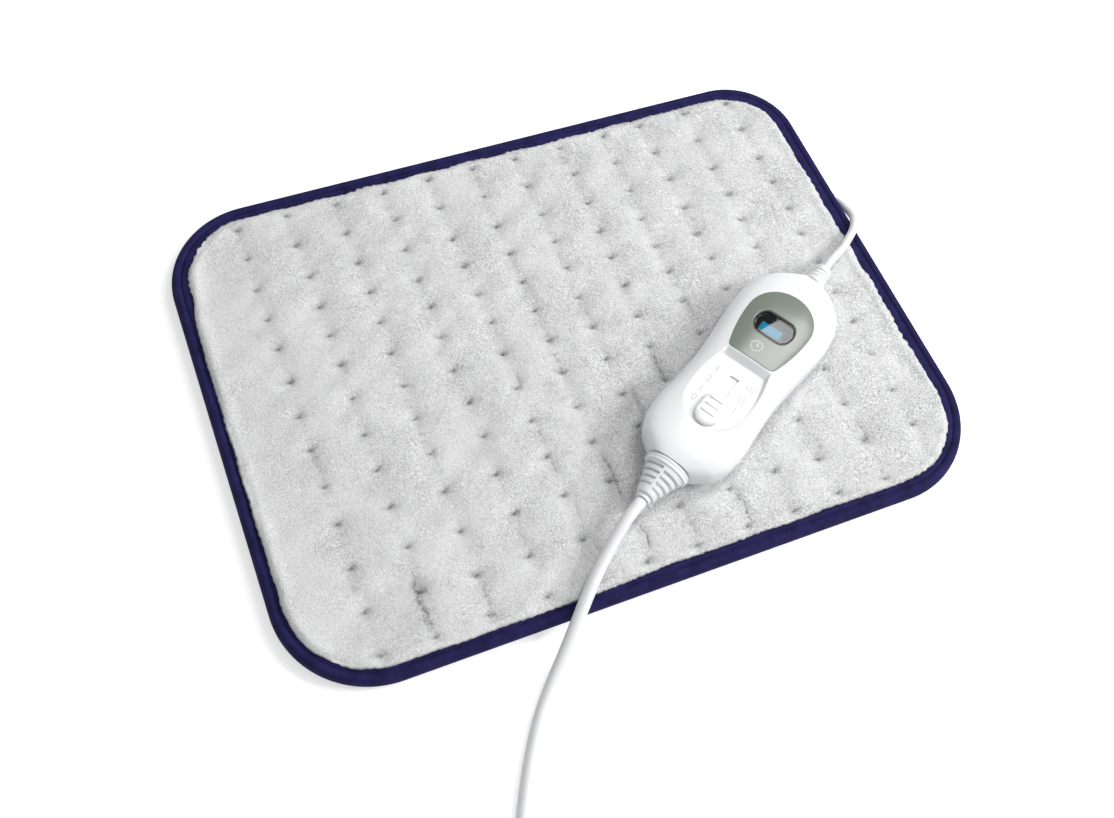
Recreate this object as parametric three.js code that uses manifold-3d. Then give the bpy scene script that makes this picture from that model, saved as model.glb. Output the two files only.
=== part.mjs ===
// Heating pad with a slide-switch controller, its pad lead and its mains lead.
// Millimetres, +Z up. The origin is the middle of the pad, on the surface it lies on.
// +X runs along the pad's long side, towards the side where the pad lead comes out.
import * as THREE from 'three';
import { mergeVertices } from 'three/addons/utils/BufferGeometryUtils.js';
import Module from 'manifold-3d';

const wasm = await Module();
wasm.setup();

// Clearances that every fit takes its gap from
const touchGap = 0.3;
const runningGap = 0.35;
const cutOverrun = 4;

// Pad: outline, binding and the heights of its layers
const padLength = 400;
const padWidth = 300;
// corners run counterclockwise from the one at +X, +Y
const cornerSides = [[1, 1], [-1, 1], [-1, -1], [1, -1]];
const padCornerRadii = [42, 51, 53, 56];
const cornerSegments = 6;
const bindingWidth = 9;
const bindingHeight = 9.2;
const bindingWall = 1.2;
const bindingFoldDepth = 3;
const bindingRollInset = 2.6;
const stitchGrooveInset = 6.8;
const stitchGrooveHalf = 0.7;
const stitchGrooveDepth = 0.5;
const coverThickness = 1.4;
const waddingThickness = 0.8;
const carrierThickness = 0.6;
const upperWaddingThickness = 1;
const wireDiameter = 1.6;
const coverRimThickness = 1.1;
const coverRimOverlap = 3;

// Quilting of the top cover: a regular field of sewn tufts
const tuftColumns = 12;
const tuftRows = 13;
const tuftPitchX = 29.2;
const tuftPitchY = 22.4;
const tuftFieldX = 5.5;
const quiltCrownHeight = 12.5;
const quiltTuftHeight = 8.3;
const quiltColumnHeight = 10.4;
const quiltRowHeight = 11.6;
const quiltEdgeHeight = 8.8;
const quiltEdgeFade = 20;
const dentSlope = 0.35;

// Heating wire and the parts on the carrier
const wireRuns = 12;
const wireFirstInset = 27;
const wireFirstX = wireFirstInset - padLength / 2;
const wireLastInset = 55.5;
const wireLastX = padLength / 2 - wireLastInset;
const wireRunInset = 44;
const wireRunEnd = padWidth / 2 - wireRunInset;
const wireReturnInset = 20;
const wireReturnY = padWidth / 2 - wireReturnInset;
const wireBendSteps = 4;
const wireSides = 5;
const wireLeadOut = 5;
const wireRise = 12;
const terminalBoxLength = 26;
const terminalBoxWidth = 18;
const terminalBoxHeight = 4.6;
const terminalBoxInset = 30;
const terminalBoxX = padLength / 2 - terminalBoxInset;
const terminalBoxSideInset = 73;
const terminalBoxY = padWidth / 2 - terminalBoxSideInset;
const terminalBoxTurn = -45;
const terminalWireOff = 4;
const cutoutLength = 12;
const cutoutWidth = 4;
const cutoutHeight = 1.5;
const cutoutRuns = [3, 8];
const cutoutPlace = 34;

// Controller: place on the pad, then its moulded housing
const controllerX = 86.2;
const controllerY = -52;
const controllerTurn = 31.6;
const housingLength = 149;
const housingMainsEnd = -79.5;
const housingPadEnd = housingMainsEnd + housingLength;
const housingHalfWidth = 30;
const housingSeat = 9.8;
const housingSplit = 21;
const housingTopHeight = 13.8;
const housingBottomDepth = housingSplit - housingSeat;
const housingWall = 2;
const housingEndWall = 3;
const housingTopRoundness = 3;
const housingBottomRoundness = 3.4;
const housingRingSteps = 12;
const wallSlopeLimit = 2;
const lipHeight = 1.4;
const lipThickness = 0.8;

// Sections of the housing: along, half width, top and bottom, as shares of the sizes above
const housingStationShares = [
  [0, 0.433, 0.674, 0.83],
  [0.02, 0.57, 0.71, 0.9],
  [0.055, 0.765, 0.745, 0.96],
  [0.115, 0.905, 0.765, 1],
  [0.2, 0.95, 0.775, 1],
  [0.31, 0.91, 0.82, 1],
  [0.43, 0.885, 0.9, 1],
  [0.53, 0.915, 0.965, 1],
  [0.65, 0.975, 1, 1],
  [0.757, 1, 0.975, 1],
  [0.84, 0.955, 0.91, 0.985],
  [0.9, 0.845, 0.83, 0.95],
  [0.945, 0.655, 0.735, 0.88],
  [0.978, 0.44, 0.62, 0.77],
  [1, 0.287, 0.5, 0.62],
];

// Places along the housing, as shares of its length from the mains end
const alongShares = {
  panelFlatEnd: 0.5107,
  panelRoundEnd: 0.8557,
  panelWide: 0.7215,
  window: 0.6812,
  recessFlatEnd: 0.4825,
  recessRoundEnd: 0.1685,
  recessWide: 0.3054,
  knob: 0.2477,
  filmCapacitor: 0.547,
  powerTriac: 0.4933,
  controlChip: 0.5403,
  fuseHolder: 0.292,
  can: 0.1577,
};

function alongHousing(share) {
  return housingMainsEnd + share * housingLength;
}

// Display panel and its window, in the controller's frame
const panelFlatEnd = alongHousing(alongShares.panelFlatEnd);
const panelRoundEnd = alongHousing(alongShares.panelRoundEnd);
const panelFlatHalf = 14.4;
const panelWideHalf = 19.7;
const panelWideX = alongHousing(alongShares.panelWide);
const panelThickness = 1.2;
const panelShelf = 1.9;
const panelEdgeGap = 0.3;
const windowX = alongHousing(alongShares.window);
const windowHalfLength = 12;
const windowHalfWidth = 8;
const windowCap = 5.5;
const windowTop = 34.3;
const windowDepth = 3.2;
const windowRebate = 1.4;
const lcdThickness = 1;
const lcdHalfX = 8.4;
const lcdHalfY = 12.6;
const lightBoxHalfX = 9.6;
const lightBoxHalfY = 14;
const lightBoxWall = 1.4;

// Recess with the slide knob
const recessFloor = 30.2;
const recessFlatEnd = alongHousing(alongShares.recessFlatEnd);
const recessRoundEnd = alongHousing(alongShares.recessRoundEnd);
const recessFlatHalf = 14.2;
const recessWideHalf = 18;
const recessWideX = alongHousing(alongShares.recessWide);
const recessFloorThickness = 1.8;
const riserRun = 3;
const slideTravel = 21;
const knobX = alongHousing(alongShares.knob);
const knobLength = 21;
const knobWidth = 14.5;
const knobHeight = 2.5;
const knobEdge = 0.8;
const knobRibCount = 3;
const knobRibPitch = 4.7;
const knobRibFirst = -3.2;
const knobRibLength = 8;
const knobRibWidth = 1.2;
const knobRibHeight = 0.4;
const stemLength = 8;
const stemWidth = 4.7;
const slotEndGap = 0.5;
const slotSideGap = 0.4;
const shutterThickness = 0.8;
const shutterSideLap = 2.4;
const shutterEndLap = 1;
const footHeight = 0.8;
const footLap = 1.2;
const leverLength = 4;
const leverWidth = 2.6;
const leverNest = 2.2;
const switchLength = 36;
const switchWidth = 8.6;
const switchHeight = 5.6;
const switchWall = 1;
const switchFootLength = 6;
const switchFootHeight = 1.6;

// Circuit board and what stands on it
const boardBottom = 17.4;
const boardThickness = 1.6;
const boardMainsInset = 19.5;
const boardMainsEnd = housingMainsEnd + boardMainsInset;
const boardPadInset = 17.5;
const boardPadEnd = housingPadEnd - boardPadInset;
const boardHalfWidth = 17;
const boardCorner = 4;
const boardPostRadius = 2.6;
const boardCornerSteps = 3;
const filmCapacitor = {
  x: alongHousing(alongShares.filmCapacitor),
  y: -9.6,
  halfX: 6.5,
  halfY: 3,
  height: 6.4,
};
const powerTriac = {
  x: alongHousing(alongShares.powerTriac),
  y: 11.5,
  halfX: 2.4,
  halfY: 4.6,
  height: 6.2,
};
const mainsTerminalInset = 30.5;
const mainsTerminal = {
  x: housingMainsEnd + mainsTerminalInset,
  y: -11.6,
  halfX: 3.8,
  halfY: 4.4,
  height: 6.4,
};
const padTerminalInset = 24.5;
const padTerminal = {
  x: housingPadEnd - padTerminalInset,
  y: 0,
  halfX: 3.6,
  halfY: 6.2,
  height: 6.2,
};
const controlChip = {
  x: alongHousing(alongShares.controlChip),
  y: 4.6,
  halfX: 4.4,
  halfY: 2.9,
  height: 1.5,
};
const fuseHolder = {
  x: alongHousing(alongShares.fuseHolder),
  y: 11.6,
  halfX: 11.5,
  halfY: 3.1,
  height: 1.6,
};
const fuseRadius = 2.4;
const fuseLength = 20;
const fuseSides = 12;
const canX = alongHousing(alongShares.can);
const canY = 10.5;
const canRadius = 3.4;
const canHeight = 7;
const canSides = 14;

// Screws and the bosses they turn into
const screwShankRadius = 1.45;
const screwHeadRadius = 2.7;
const screwHeadHeight = 2;
const screwPilotGap = 0.2;
const screwSides = 8;
const bossWall = 1.7;
const bossRadius = screwShankRadius + screwPilotGap + bossWall;
const headBore = 5;
const housingScrewBite = 6;
const mainsScrewInset = 24.5;
const mainsScrewX = housingMainsEnd + mainsScrewInset;
const mainsScrewY = 21.2;
const padScrewInset = 27.5;
const padScrewX = housingPadEnd - padScrewInset;
const padScrewY = 22;

// Mains side: lead, strain relief and clamp
const mainsDiameter = 6.8;
const mainsReliefLength = 22.5;
const mainsCollarHalf = 13.1;
const mainsCollarRise = 9.2;
const mainsCollarBand = 4.2;
const mainsCollarStep = 0.45;
const mainsTipRadius = 5.7;
const mainsReliefSides = 16;
const mainsSlotCount = 4;
const mainsSlotFirst = 6.8;
const mainsSlotPitch = 3.75;
const mainsSlotWidth = 1.3;
const mainsSpineHalf = 0.9;
const mainsSlotCore = 1.1;
// taper of the relief: share of the way to the collar, then how wide it is there
const reliefTaper = [[0.05, 0], [0.3, 0.2], [0.55, 0.42], [0.8, 0.66], [1, 0.9]];
const mainsSleeveLength = 2.6;
const mainsSleeveWall = 0.9;
const mainsNeckRadius = 6.2;
const mainsFlangeRadius = 7.8;
const flangeThickness = 2;

// Pad side: lead, strain relief and clamp
const padLeadDiameter = 5;
const padReliefLength = 14.6;
const padReliefRoot = 7.6;
const padReliefRadius = 5.5;
const padReliefTip = 4.4;
const padReliefSides = 12;
const padGrooveCount = 4;
const padGrooveFirst = 0.9;
const padGroovePitch = 2.9;
const padGrooveWidth = 1;
const padGrooveDepth = 0.5;
const padReliefTaperEnd = 3.6;
const padNeckRadius = 4.6;
const padFlangeRadius = 6.2;

// Clamps and cores inside the housing
const clampLength = 6;
const clampBridge = 2;
const clampScrewBite = 4;
const clampScrewOff = clampBridge + touchGap + screwHeadRadius;
const clampEar = clampScrewOff + screwHeadRadius + touchGap;
const mainsClampInset = 12.2;
const mainsClampX = housingMainsEnd + mainsClampInset;
const padClampInset = 11.2;
const padClampX = housingPadEnd - padClampInset;
const tailEnd = 5;
const coreDiameter = 1.8;
const coreSides = 6;
const padCoreDiameter = 1.2;
const padCoreSpacing = 1.6;
const mainsCoreApart = 2.25;
const mainsCoreRise = 1.2;

// Mains lead outside the controller: its route is chosen by hand
const mainsStraight = 14;
const mainsRoute = [
  [-28, -124.6, 17.6],
  [-38.6, -134, 16.1],
  [-49.4, -144.8, 14.2],
  [-59.8, -156, 11.4],
  [-70.2, -166.9, 7.4],
  [-80.4, -177.4, 4.4],
  [-92.6, -191.8, 3.5],
  [-105.6, -211.7, 3.5],
  [-116.3, -231.2, 3.5],
  [-126, -249, 3.7],
  [-134.4, -264.4, 4.4],
];
const coilEntry = [-141.5, -277.8];
const coilHeading = 243;
const coilTurns = 6.325;
const coilMeanRadius = 37.4;
const coilGap = 0.6;
const coilStepsPerTurn = 24;
const coilSides = 6;
const cordSides = 10;
const cordStep = 15;
const tailRoute = [
  [14, 0, 11.9],
  [28, 0.2, 11],
  [42, 0.9, 8.9],
  [56, 2, 7],
  [70, 3.2, 6.4],
];
const tailEndPlace = [83, 4.4];
const tieWidth = 9;
const tieThickness = 0.8;
const tieGap = 0.5;
const tieAngle = 20;

// Plug: a flat two-pin moulding
const plugLength = 35;
const plugFrontHalf = 13.2;
const plugBackHalf = 7.2;
const plugHeight = 13.7;
const plugEdge = 3;
const plugTailLength = 20;
const plugTailRadius = 5.2;
const plugTailTip = 4.4;
const plugTailGrooves = 4;
const plugTailGroove = 0.7;
const plugSides = 12;
const pinRadius = 2;
const pinLength = 19;
const pinSleeveLength = 10;
const pinSpacing = 18.8;
const pinSides = 10;
const pinSocket = 3;
const pinTip = 1;
const pinCore = 1.2;

// Pad lead outside: from the pad's edge over the binding to the controller
const padLeadHeight = 4.25;
// insets from the pad's corner at +X, +Y
const padLeadInsideInsets = [
  [14.4, 88.4],
  [6.8, 94],
];
const padLeadExitInsets = [2.3, 99];
const padLeadInside = padLeadInsideInsets.map(([x, y]) => [padLength / 2 - x, padWidth / 2 - y, padLeadHeight]);
const padLeadExit = [padLength / 2 - padLeadExitInsets[0], padWidth / 2 - padLeadExitInsets[1], padLeadHeight];
const padLeadRoute = [
  [202.5, 45.2, 4],
  [204.1, 38.9, 4.1],
  [203.9, 32.4, 6],
  [201.6, 26.8, 9],
  [197.9, 21.3, 11.5],
  [193.9, 16.7, 12.6],
  [187.8, 11.7, 13.6],
  [180.3, 6.1, 14.8],
  [172.1, 1.3, 16.8],
];
const padLeadStraight = 5;
const padLeadSides = 8;
const padLeadStep = 8;

// Colours and finishes
const finishes = {
  fleece: [0xd6d6d8, 1, 0],
  wadding: [0xf2f2f0, 1, 0],
  binding: [0x2a2a4b, 0.85, 0],
  wire: [0xb8472e, 0.6, 0],
  shell: [0xf1f1f4, 0.35, 0],
  panel: [0x7d8776, 0.35, 0.5],
  glass: [0x08090b, 0.08, 0],
  lcd: [0x2f9fc8, 0.3, 0],
  board: [0x1f6b3a, 0.6, 0],
  dark: [0x1d1d20, 0.5, 0],
  ceramic: [0xd9c9a5, 0.5, 0],
  steel: [0xb9bcc0, 0.35, 0.9],
  cord: [0xefeff2, 0.5, 0],
  amber: [0xc98a2b, 0.45, 0],
};

const part = new THREE.Group();
const controller = new THREE.Group();
controller.position.set(controllerX, controllerY, 0);
controller.rotation.z = THREE.MathUtils.degToRad(controllerTurn);
part.add(controller);

function addPiece(group, name, geometry, finish) {
  const [color, roughness, metalness] = finishes[finish];
  const material = new THREE.MeshStandardMaterial({ color, roughness, metalness });
  const mesh = new THREE.Mesh(geometry, material);
  mesh.name = name;
  group.add(mesh);
  return mesh;
}

// Solids and booleans
function toSolid(geometry) {
  const bare = geometry.clone();
  bare.deleteAttribute('normal');
  bare.deleteAttribute('uv');
  const merged = mergeVertices(bare, 1e-4);
  return new wasm.Manifold(new wasm.Mesh({
    numProp: 3,
    vertProperties: Float32Array.from(merged.attributes.position.array),
    triVerts: Uint32Array.from(merged.index.array),
  }));
}

function toGeometry(solid) {
  const mesh = solid.getMesh();
  const geometry = new THREE.BufferGeometry();
  geometry.setAttribute('position', new THREE.BufferAttribute(new Float32Array(mesh.vertProperties), 3));
  geometry.setIndex(new THREE.BufferAttribute(new Uint32Array(mesh.triVerts), 1));
  geometry.computeVertexNormals();
  return geometry;
}

function block(x0, x1, y0, y1, z0, z1) {
  const geometry = new THREE.BoxGeometry(x1 - x0, y1 - y0, z1 - z0);
  geometry.translate((x0 + x1) / 2, (y0 + y1) / 2, (z0 + z1) / 2);
  return geometry;
}

function prism(shape, z0, z1, curveSegments = cornerSegments / 2) {
  const geometry = new THREE.ExtrudeGeometry(shape, { depth: z1 - z0, bevelEnabled: false, curveSegments });
  geometry.translate(0, 0, z0);
  return geometry;
}

function post(x, y, z0, z1, radius, sides = screwSides) {
  const geometry = new THREE.CylinderGeometry(radius, radius, z1 - z0, sides);
  geometry.rotateX(Math.PI / 2);
  geometry.translate(x, y, (z0 + z1) / 2);
  return geometry;
}

// A bar along X, round, between two places
function bar(x0, x1, z, radius, sides) {
  const geometry = new THREE.CylinderGeometry(radius, radius, x1 - x0, sides);
  geometry.rotateZ(-Math.PI / 2);
  geometry.translate((x0 + x1) / 2, 0, z);
  return geometry;
}

// A closed skin over a row of rings, each ring a list of points with the same count
function loftOver(rings) {
  const count = rings[0].length;
  const positions = [];
  const index = [];
  for (const ring of rings) {
    for (const point of ring) positions.push(...point);
  }
  for (let i = 0; i < rings.length - 1; i += 1) {
    for (let j = 0; j < count; j += 1) {
      const a = i * count + j;
      const b = i * count + (j + 1) % count;
      index.push(a, b, b + count, a, b + count, a + count);
    }
  }
  for (const [ring, turn] of [[0, false], [rings.length - 1, true]]) {
    for (let j = 1; j < count - 1; j += 1) {
      const base = ring * count;
      if (turn) index.push(base, base + j, base + j + 1);
      else index.push(base, base + j + 1, base + j);
    }
  }
  const geometry = new THREE.BufferGeometry();
  geometry.setAttribute('position', new THREE.Float32BufferAttribute(positions, 3));
  geometry.setIndex(index);
  return geometry;
}

// A round tube whose rings stand exactly at the given points
function tubeThrough(points, radius, sides) {
  const places = points.map((p) => new THREE.Vector3(...p));
  const up = new THREE.Vector3(0, 0, 1);
  const rings = places.map((place, i) => {
    const before = places[Math.max(0, i - 1)];
    const after = places[Math.min(places.length - 1, i + 1)];
    const along = after.clone().sub(before).normalize();
    const side = up.clone().cross(along).normalize();
    const over = along.clone().cross(side);
    return Array.from({ length: sides }, (_, k) => {
      const angle = (k / sides) * 2 * Math.PI;
      const point = place.clone();
      point.addScaledVector(side, radius * Math.sin(angle));
      point.addScaledVector(over, -radius * Math.cos(angle));
      return point.toArray();
    });
  });
  return loftOver(rings);
}

function smoothPath(points, step) {
  const path = new THREE.CatmullRomCurve3(points.map((p) => new THREE.Vector3(...p)), false, 'centripetal');
  const steps = Math.max(1, Math.round(path.getLength() / step));
  return path.getSpacedPoints(steps).map((p) => p.toArray());
}

function lengthOf(points) {
  return points.slice(1).reduce((sum, p, i) => sum + Math.hypot(...p.map((v, k) => v - points[i][k])), 0);
}

function turned(profile, sides) {
  return new THREE.LatheGeometry(profile.map(([r, z]) => new THREE.Vector2(r, z)), sides);
}

// A lathe whose axis lies along X: profile points are [radius, x]
function turnedAlongX(profile, z, sides) {
  const geometry = turned(profile, sides);
  geometry.rotateZ(-Math.PI / 2);
  geometry.translate(0, 0, z);
  return geometry;
}

// Pad outline, set in by a distance
function outlinePlace(corner, k, inset) {
  const [sideX, sideY] = cornerSides[corner];
  const radius = padCornerRadii[corner];
  const angle = (corner + k / cornerSegments) * (Math.PI / 2);
  return [
    sideX * (padLength / 2 - radius) + (radius - inset) * Math.cos(angle),
    sideY * (padWidth / 2 - radius) + (radius - inset) * Math.sin(angle),
  ];
}

function padOutline(inset) {
  const shape = new THREE.Shape();
  cornerSides.forEach((sides, corner) => {
    for (let k = 0; k <= cornerSegments; k += 1) {
      if (corner + k === 0) shape.moveTo(...outlinePlace(corner, k, inset));
      else shape.lineTo(...outlinePlace(corner, k, inset));
    }
  });
  shape.closePath();
  return shape;
}

function padSlab(inset, z0, z1) {
  return toSolid(prism(padOutline(inset), z0, z1));
}

const layerInset = bindingWidth + touchGap;
const rimInset = bindingFoldDepth + touchGap;
const bottomCoverTop = coverThickness;
const lowerWaddingBottom = bottomCoverTop + touchGap;
const carrierBottom = lowerWaddingBottom + waddingThickness + touchGap;
const carrierTop = carrierBottom + carrierThickness;
const wireHeight = carrierTop + touchGap + wireDiameter / 2;
const upperWaddingBottom = wireHeight + wireDiameter / 2 + touchGap;
const topCoverBottom = upperWaddingBottom + upperWaddingThickness + touchGap;

// Housing shape
const sectionSizes = housingStationShares.map(([along, width, top, bottom]) => [
  housingMainsEnd + along * housingLength,
  width * housingHalfWidth,
  top * housingTopHeight,
  bottom * housingBottomDepth,
]);

function housingSizeAt(x, column) {
  const last = sectionSizes.length - 1;
  const place = Math.min(Math.max(x, sectionSizes[0][0]), sectionSizes[last][0]);
  const i = Math.min(last - 1, sectionSizes.findLastIndex((row) => row[0] <= place));
  const [a, b] = [sectionSizes[i], sectionSizes[i + 1]];
  const share = (place - a[0]) / (b[0] - a[0]);
  return a[column] + (b[column] - a[column]) * share;
}

// One ring of the housing at x, drawn in by a wall that is measured square to the skin
function housingRing(x, wall) {
  const drawn = [1, 2, 3].map((column) => {
    const rise = housingSizeAt(x + housingWall, column) - housingSizeAt(x - housingWall, column);
    const slope = rise / (2 * housingWall);
    return housingSizeAt(x, column) - wall * Math.min(Math.hypot(1, slope), wallSlopeLimit);
  });
  const ring = [];
  for (let j = 0; j < 2 * housingRingSteps; j += 1) {
    const angle = (j / housingRingSteps) * Math.PI;
    const upper = j <= housingRingSteps;
    const power = 2 / (upper ? housingTopRoundness : housingBottomRoundness);
    const across = Math.sign(Math.cos(angle)) * Math.abs(Math.cos(angle)) ** power;
    const up = Math.sign(Math.sin(angle)) * Math.abs(Math.sin(angle)) ** power;
    ring.push([x, drawn[0] * across, housingSplit + up * (upper ? drawn[1] : drawn[2])]);
  }
  return ring;
}

function housingForm(wall, endWall) {
  const from = housingMainsEnd + endWall;
  const to = housingPadEnd - endWall;
  const places = sectionSizes.map((row) => row[0]).filter((x) => x > from && x < to);
  const closest = housingWall / 2;
  const kept = places.filter((x) => x - from > closest && to - x > closest);
  return toSolid(loftOver([from, ...kept, to].map((x) => housingRing(x, wall))));
}

const reach = housingLength;
const aboveSplit = toSolid(block(-reach, reach, -reach, reach, housingSplit + touchGap / 2, reach));
const belowSplit = toSolid(block(-reach, reach, -reach, reach, -reach, housingSplit - touchGap / 2));
const housingOuter = housingForm(0, 0);
const housingCavity = housingForm(housingWall, housingEndWall);

// Outlines of the panel, the recess and the window, drawn in or out by a distance
function keyholeShape(flatX, flatHalf, wideX, wideHalf, roundX, grow) {
  const side = Math.sign(roundX - flatX);
  const flat = flatX - side * grow;
  const wide = wideHalf + grow;
  const end = roundX + side * grow;
  const narrow = flatHalf + grow;
  const bulge = (wideX + flatX) / 2;
  const shape = new THREE.Shape();
  shape.moveTo(flat, -narrow * side);
  shape.quadraticCurveTo(bulge, -wide * side, wideX, -wide * side);
  const start = -side * Math.PI / 2;
  shape.absellipse(wideX, 0, Math.abs(end - wideX), wide, start, start + Math.PI);
  shape.quadraticCurveTo(bulge, wide * side, flat, narrow * side);
  shape.closePath();
  return shape;
}

function panelShape(grow) {
  return keyholeShape(panelFlatEnd, panelFlatHalf, panelWideX, panelWideHalf, panelRoundEnd, grow);
}

function recessShape(grow) {
  return keyholeShape(recessFlatEnd, recessFlatHalf, recessWideX, recessWideHalf, recessRoundEnd, grow);
}

function pillShape(x, halfAlong, halfAcross, cap) {
  const shape = new THREE.Shape();
  const straight = halfAcross - cap;
  shape.moveTo(x + halfAlong, -straight);
  shape.lineTo(x + halfAlong, straight);
  shape.absellipse(x, straight, halfAlong, cap, 0, Math.PI);
  shape.lineTo(x - halfAlong, -straight);
  shape.absellipse(x, -straight, halfAlong, cap, Math.PI, 2 * Math.PI);
  shape.closePath();
  return shape;
}

function windowShape(grow) {
  return pillShape(windowX, windowHalfWidth + grow, windowHalfLength + grow, windowCap + grow);
}

const skyHigh = housingSplit + housingTopHeight + cutOverrun;
const panelCurve = 8;

// Upper housing
function screwPlaces() {
  return [
    [mainsScrewX, mainsScrewY],
    [mainsScrewX, -mainsScrewY],
    [padScrewX, padScrewY],
    [padScrewX, -padScrewY],
  ];
}

const slotFrom = knobX - stemLength / 2 - slotEndGap;
const slotTo = knobX + stemLength / 2 + slideTravel + slotEndGap;
const slotHalf = stemWidth / 2 + slotSideGap;

function buildUpperHousing() {
  let shell = housingOuter.subtract(housingCavity);
  // floor of the recess and the shelf under the panel, inside the wall
  const floorUnder = recessFloor - recessFloorThickness;
  const floorSlab = toSolid(prism(recessShape(housingWall), floorUnder, skyHigh, panelCurve));
  const panelSlab = toSolid(prism(panelShape(housingWall), housingSplit, skyHigh, panelCurve));
  const shelfUnder = housingForm(panelThickness + panelShelf, housingEndWall);
  shell = shell.add(floorSlab.intersect(housingOuter));
  shell = shell.add(panelSlab.intersect(housingOuter).subtract(shelfUnder));
  for (const [x, y] of screwPlaces()) {
    const bossTop = housingSplit + housingTopHeight;
    shell = shell.add(toSolid(post(x, y, housingSplit, bossTop, bossRadius)).intersect(housingOuter));
  }
  // the recess, with a sloping riser up to the panel
  const pocket = toSolid(prism(recessShape(0), recessFloor, skyHigh, panelCurve));
  const riserTop = housingSplit + housingTopHeight - recessFloor;
  const riser = new THREE.Shape();
  riser.moveTo(recessFlatEnd + touchGap, recessFloor);
  riser.lineTo(recessFlatEnd + touchGap + riserRun, recessFloor + riserTop);
  riser.lineTo(recessFlatEnd + touchGap + riserRun, skyHigh);
  riser.lineTo(recessFlatEnd - riserRun, skyHigh);
  riser.lineTo(recessFlatEnd - riserRun, recessFloor);
  riser.closePath();
  const riserCut = new THREE.ExtrudeGeometry(riser, { depth: 2 * recessFlatHalf, bevelEnabled: false });
  riserCut.rotateX(Math.PI / 2);
  riserCut.translate(0, recessFlatHalf, 0);
  shell = shell.subtract(pocket).subtract(toSolid(riserCut));
  // the panel's seat and the window's opening
  const seatDepth = panelThickness + touchGap;
  const panelSeat = toSolid(prism(panelShape(panelEdgeGap), housingSplit, skyHigh, panelCurve));
  shell = shell.subtract(panelSeat.subtract(housingForm(seatDepth, 0)));
  shell = shell.subtract(toSolid(prism(windowShape(-windowRebate + touchGap), housingSplit, skyHigh)));
  // the slot, the pilot holes and the two cord necks
  const slot = block(slotFrom, slotTo, -slotHalf, slotHalf, housingSplit, skyHigh);
  shell = shell.subtract(toSolid(slot));
  for (const [x, y] of screwPlaces()) {
    const pilot = post(x, y, housingSplit - cutOverrun, housingSplit + housingScrewBite + touchGap,
      screwShankRadius + screwPilotGap);
    shell = shell.subtract(toSolid(pilot));
  }
  shell = shell.subtract(neckBores());
  // room for the lower housing's lip
  const lipReach = lipThickness + touchGap;
  const lipRoom = housingForm(housingWall - lipReach, housingEndWall - lipReach);
  const lipBand = toSolid(block(-reach, reach, -reach, reach, 0, housingSplit + lipHeight + touchGap));
  const bossKeep = screwPlaces().map(([x, y]) => toSolid(post(x, y, 0, skyHigh, bossRadius)));
  let room = lipRoom.intersect(lipBand);
  for (const keep of bossKeep) room = room.subtract(keep);
  return shell.subtract(room).intersect(aboveSplit);
}

// Holes in both end walls for the necks of the strain reliefs
function neckBores() {
  const mains = bar(housingMainsEnd - cutOverrun, housingMainsEnd + housingEndWall + cutOverrun,
    housingSplit, mainsNeckRadius + runningGap, mainsReliefSides);
  const pad = bar(housingPadEnd - housingEndWall - cutOverrun, housingPadEnd + cutOverrun,
    housingSplit, padNeckRadius + runningGap, padReliefSides);
  return toSolid(mains).add(toSolid(pad));
}

const boardTop = boardBottom + boardThickness;
const clampSeat = housingSplit - mainsDiameter / 2 - touchGap;
const padClampSeat = housingSplit - padLeadDiameter / 2 - touchGap;

function buildLowerHousing() {
  const lipFrom = housingSplit - housingWall;
  const lip = housingForm(housingWall - lipThickness, housingEndWall - lipThickness)
    .subtract(housingForm(housingWall, housingEndWall))
    .intersect(toSolid(block(-reach, reach, -reach, reach, lipFrom, housingSplit + lipHeight)));
  let shell = housingOuter.subtract(housingCavity).intersect(belowSplit);
  const posts = [];
  for (const [x, y] of screwPlaces()) {
    posts.push(post(x, y, housingSeat, housingSplit - touchGap / 2, screwHeadRadius + bossWall));
  }
  for (const x of [boardMainsEnd + boardCorner, boardPadEnd - boardCorner]) {
    for (const side of [-1, 1]) {
      const y = side * (boardHalfWidth - boardCorner);
      posts.push(post(x, y, housingSeat, boardBottom - touchGap, boardPostRadius));
    }
  }
  const clampSeats = [[mainsClampX, mainsDiameter, clampSeat], [padClampX, padLeadDiameter, padClampSeat]];
  for (const [x, diameter, seat] of clampSeats) {
    const ear = diameter / 2 + clampEar;
    posts.push(block(x - clampLength / 2, x + clampLength / 2, -ear, ear, housingSeat, seat));
  }
  for (const geometry of posts) shell = shell.add(toSolid(geometry).intersect(housingOuter));
  let lipKept = lip.subtract(neckBores());
  for (const [x, y] of screwPlaces()) {
    lipKept = lipKept.subtract(toSolid(post(x, y, housingSplit, skyHigh, bossRadius + runningGap)));
  }
  shell = shell.add(lipKept);
  for (const [x, y] of screwPlaces()) {
    shell = shell.subtract(toSolid(post(x, y, 0, housingSeat + headBore, screwHeadRadius + runningGap)));
    shell = shell.subtract(toSolid(post(x, y, 0, skyHigh, screwShankRadius + runningGap)));
  }
  for (const [x, y, seat] of clampScrewPlaces()) {
    const pilotRadius = screwShankRadius + screwPilotGap;
    const pilot = post(x, y, seat - clampScrewBite - touchGap, seat + cutOverrun, pilotRadius);
    shell = shell.subtract(toSolid(pilot));
  }
  return shell.subtract(neckBores());
}

function clampScrewPlaces() {
  const mainsY = mainsDiameter / 2 + clampScrewOff;
  const padY = padLeadDiameter / 2 + clampScrewOff;
  return [
    [mainsClampX, mainsY, clampSeat, mainsDiameter],
    [mainsClampX, -mainsY, clampSeat, mainsDiameter],
    [padClampX, padY, padClampSeat, padLeadDiameter],
    [padClampX, -padY, padClampSeat, padLeadDiameter],
  ];
}

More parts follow.
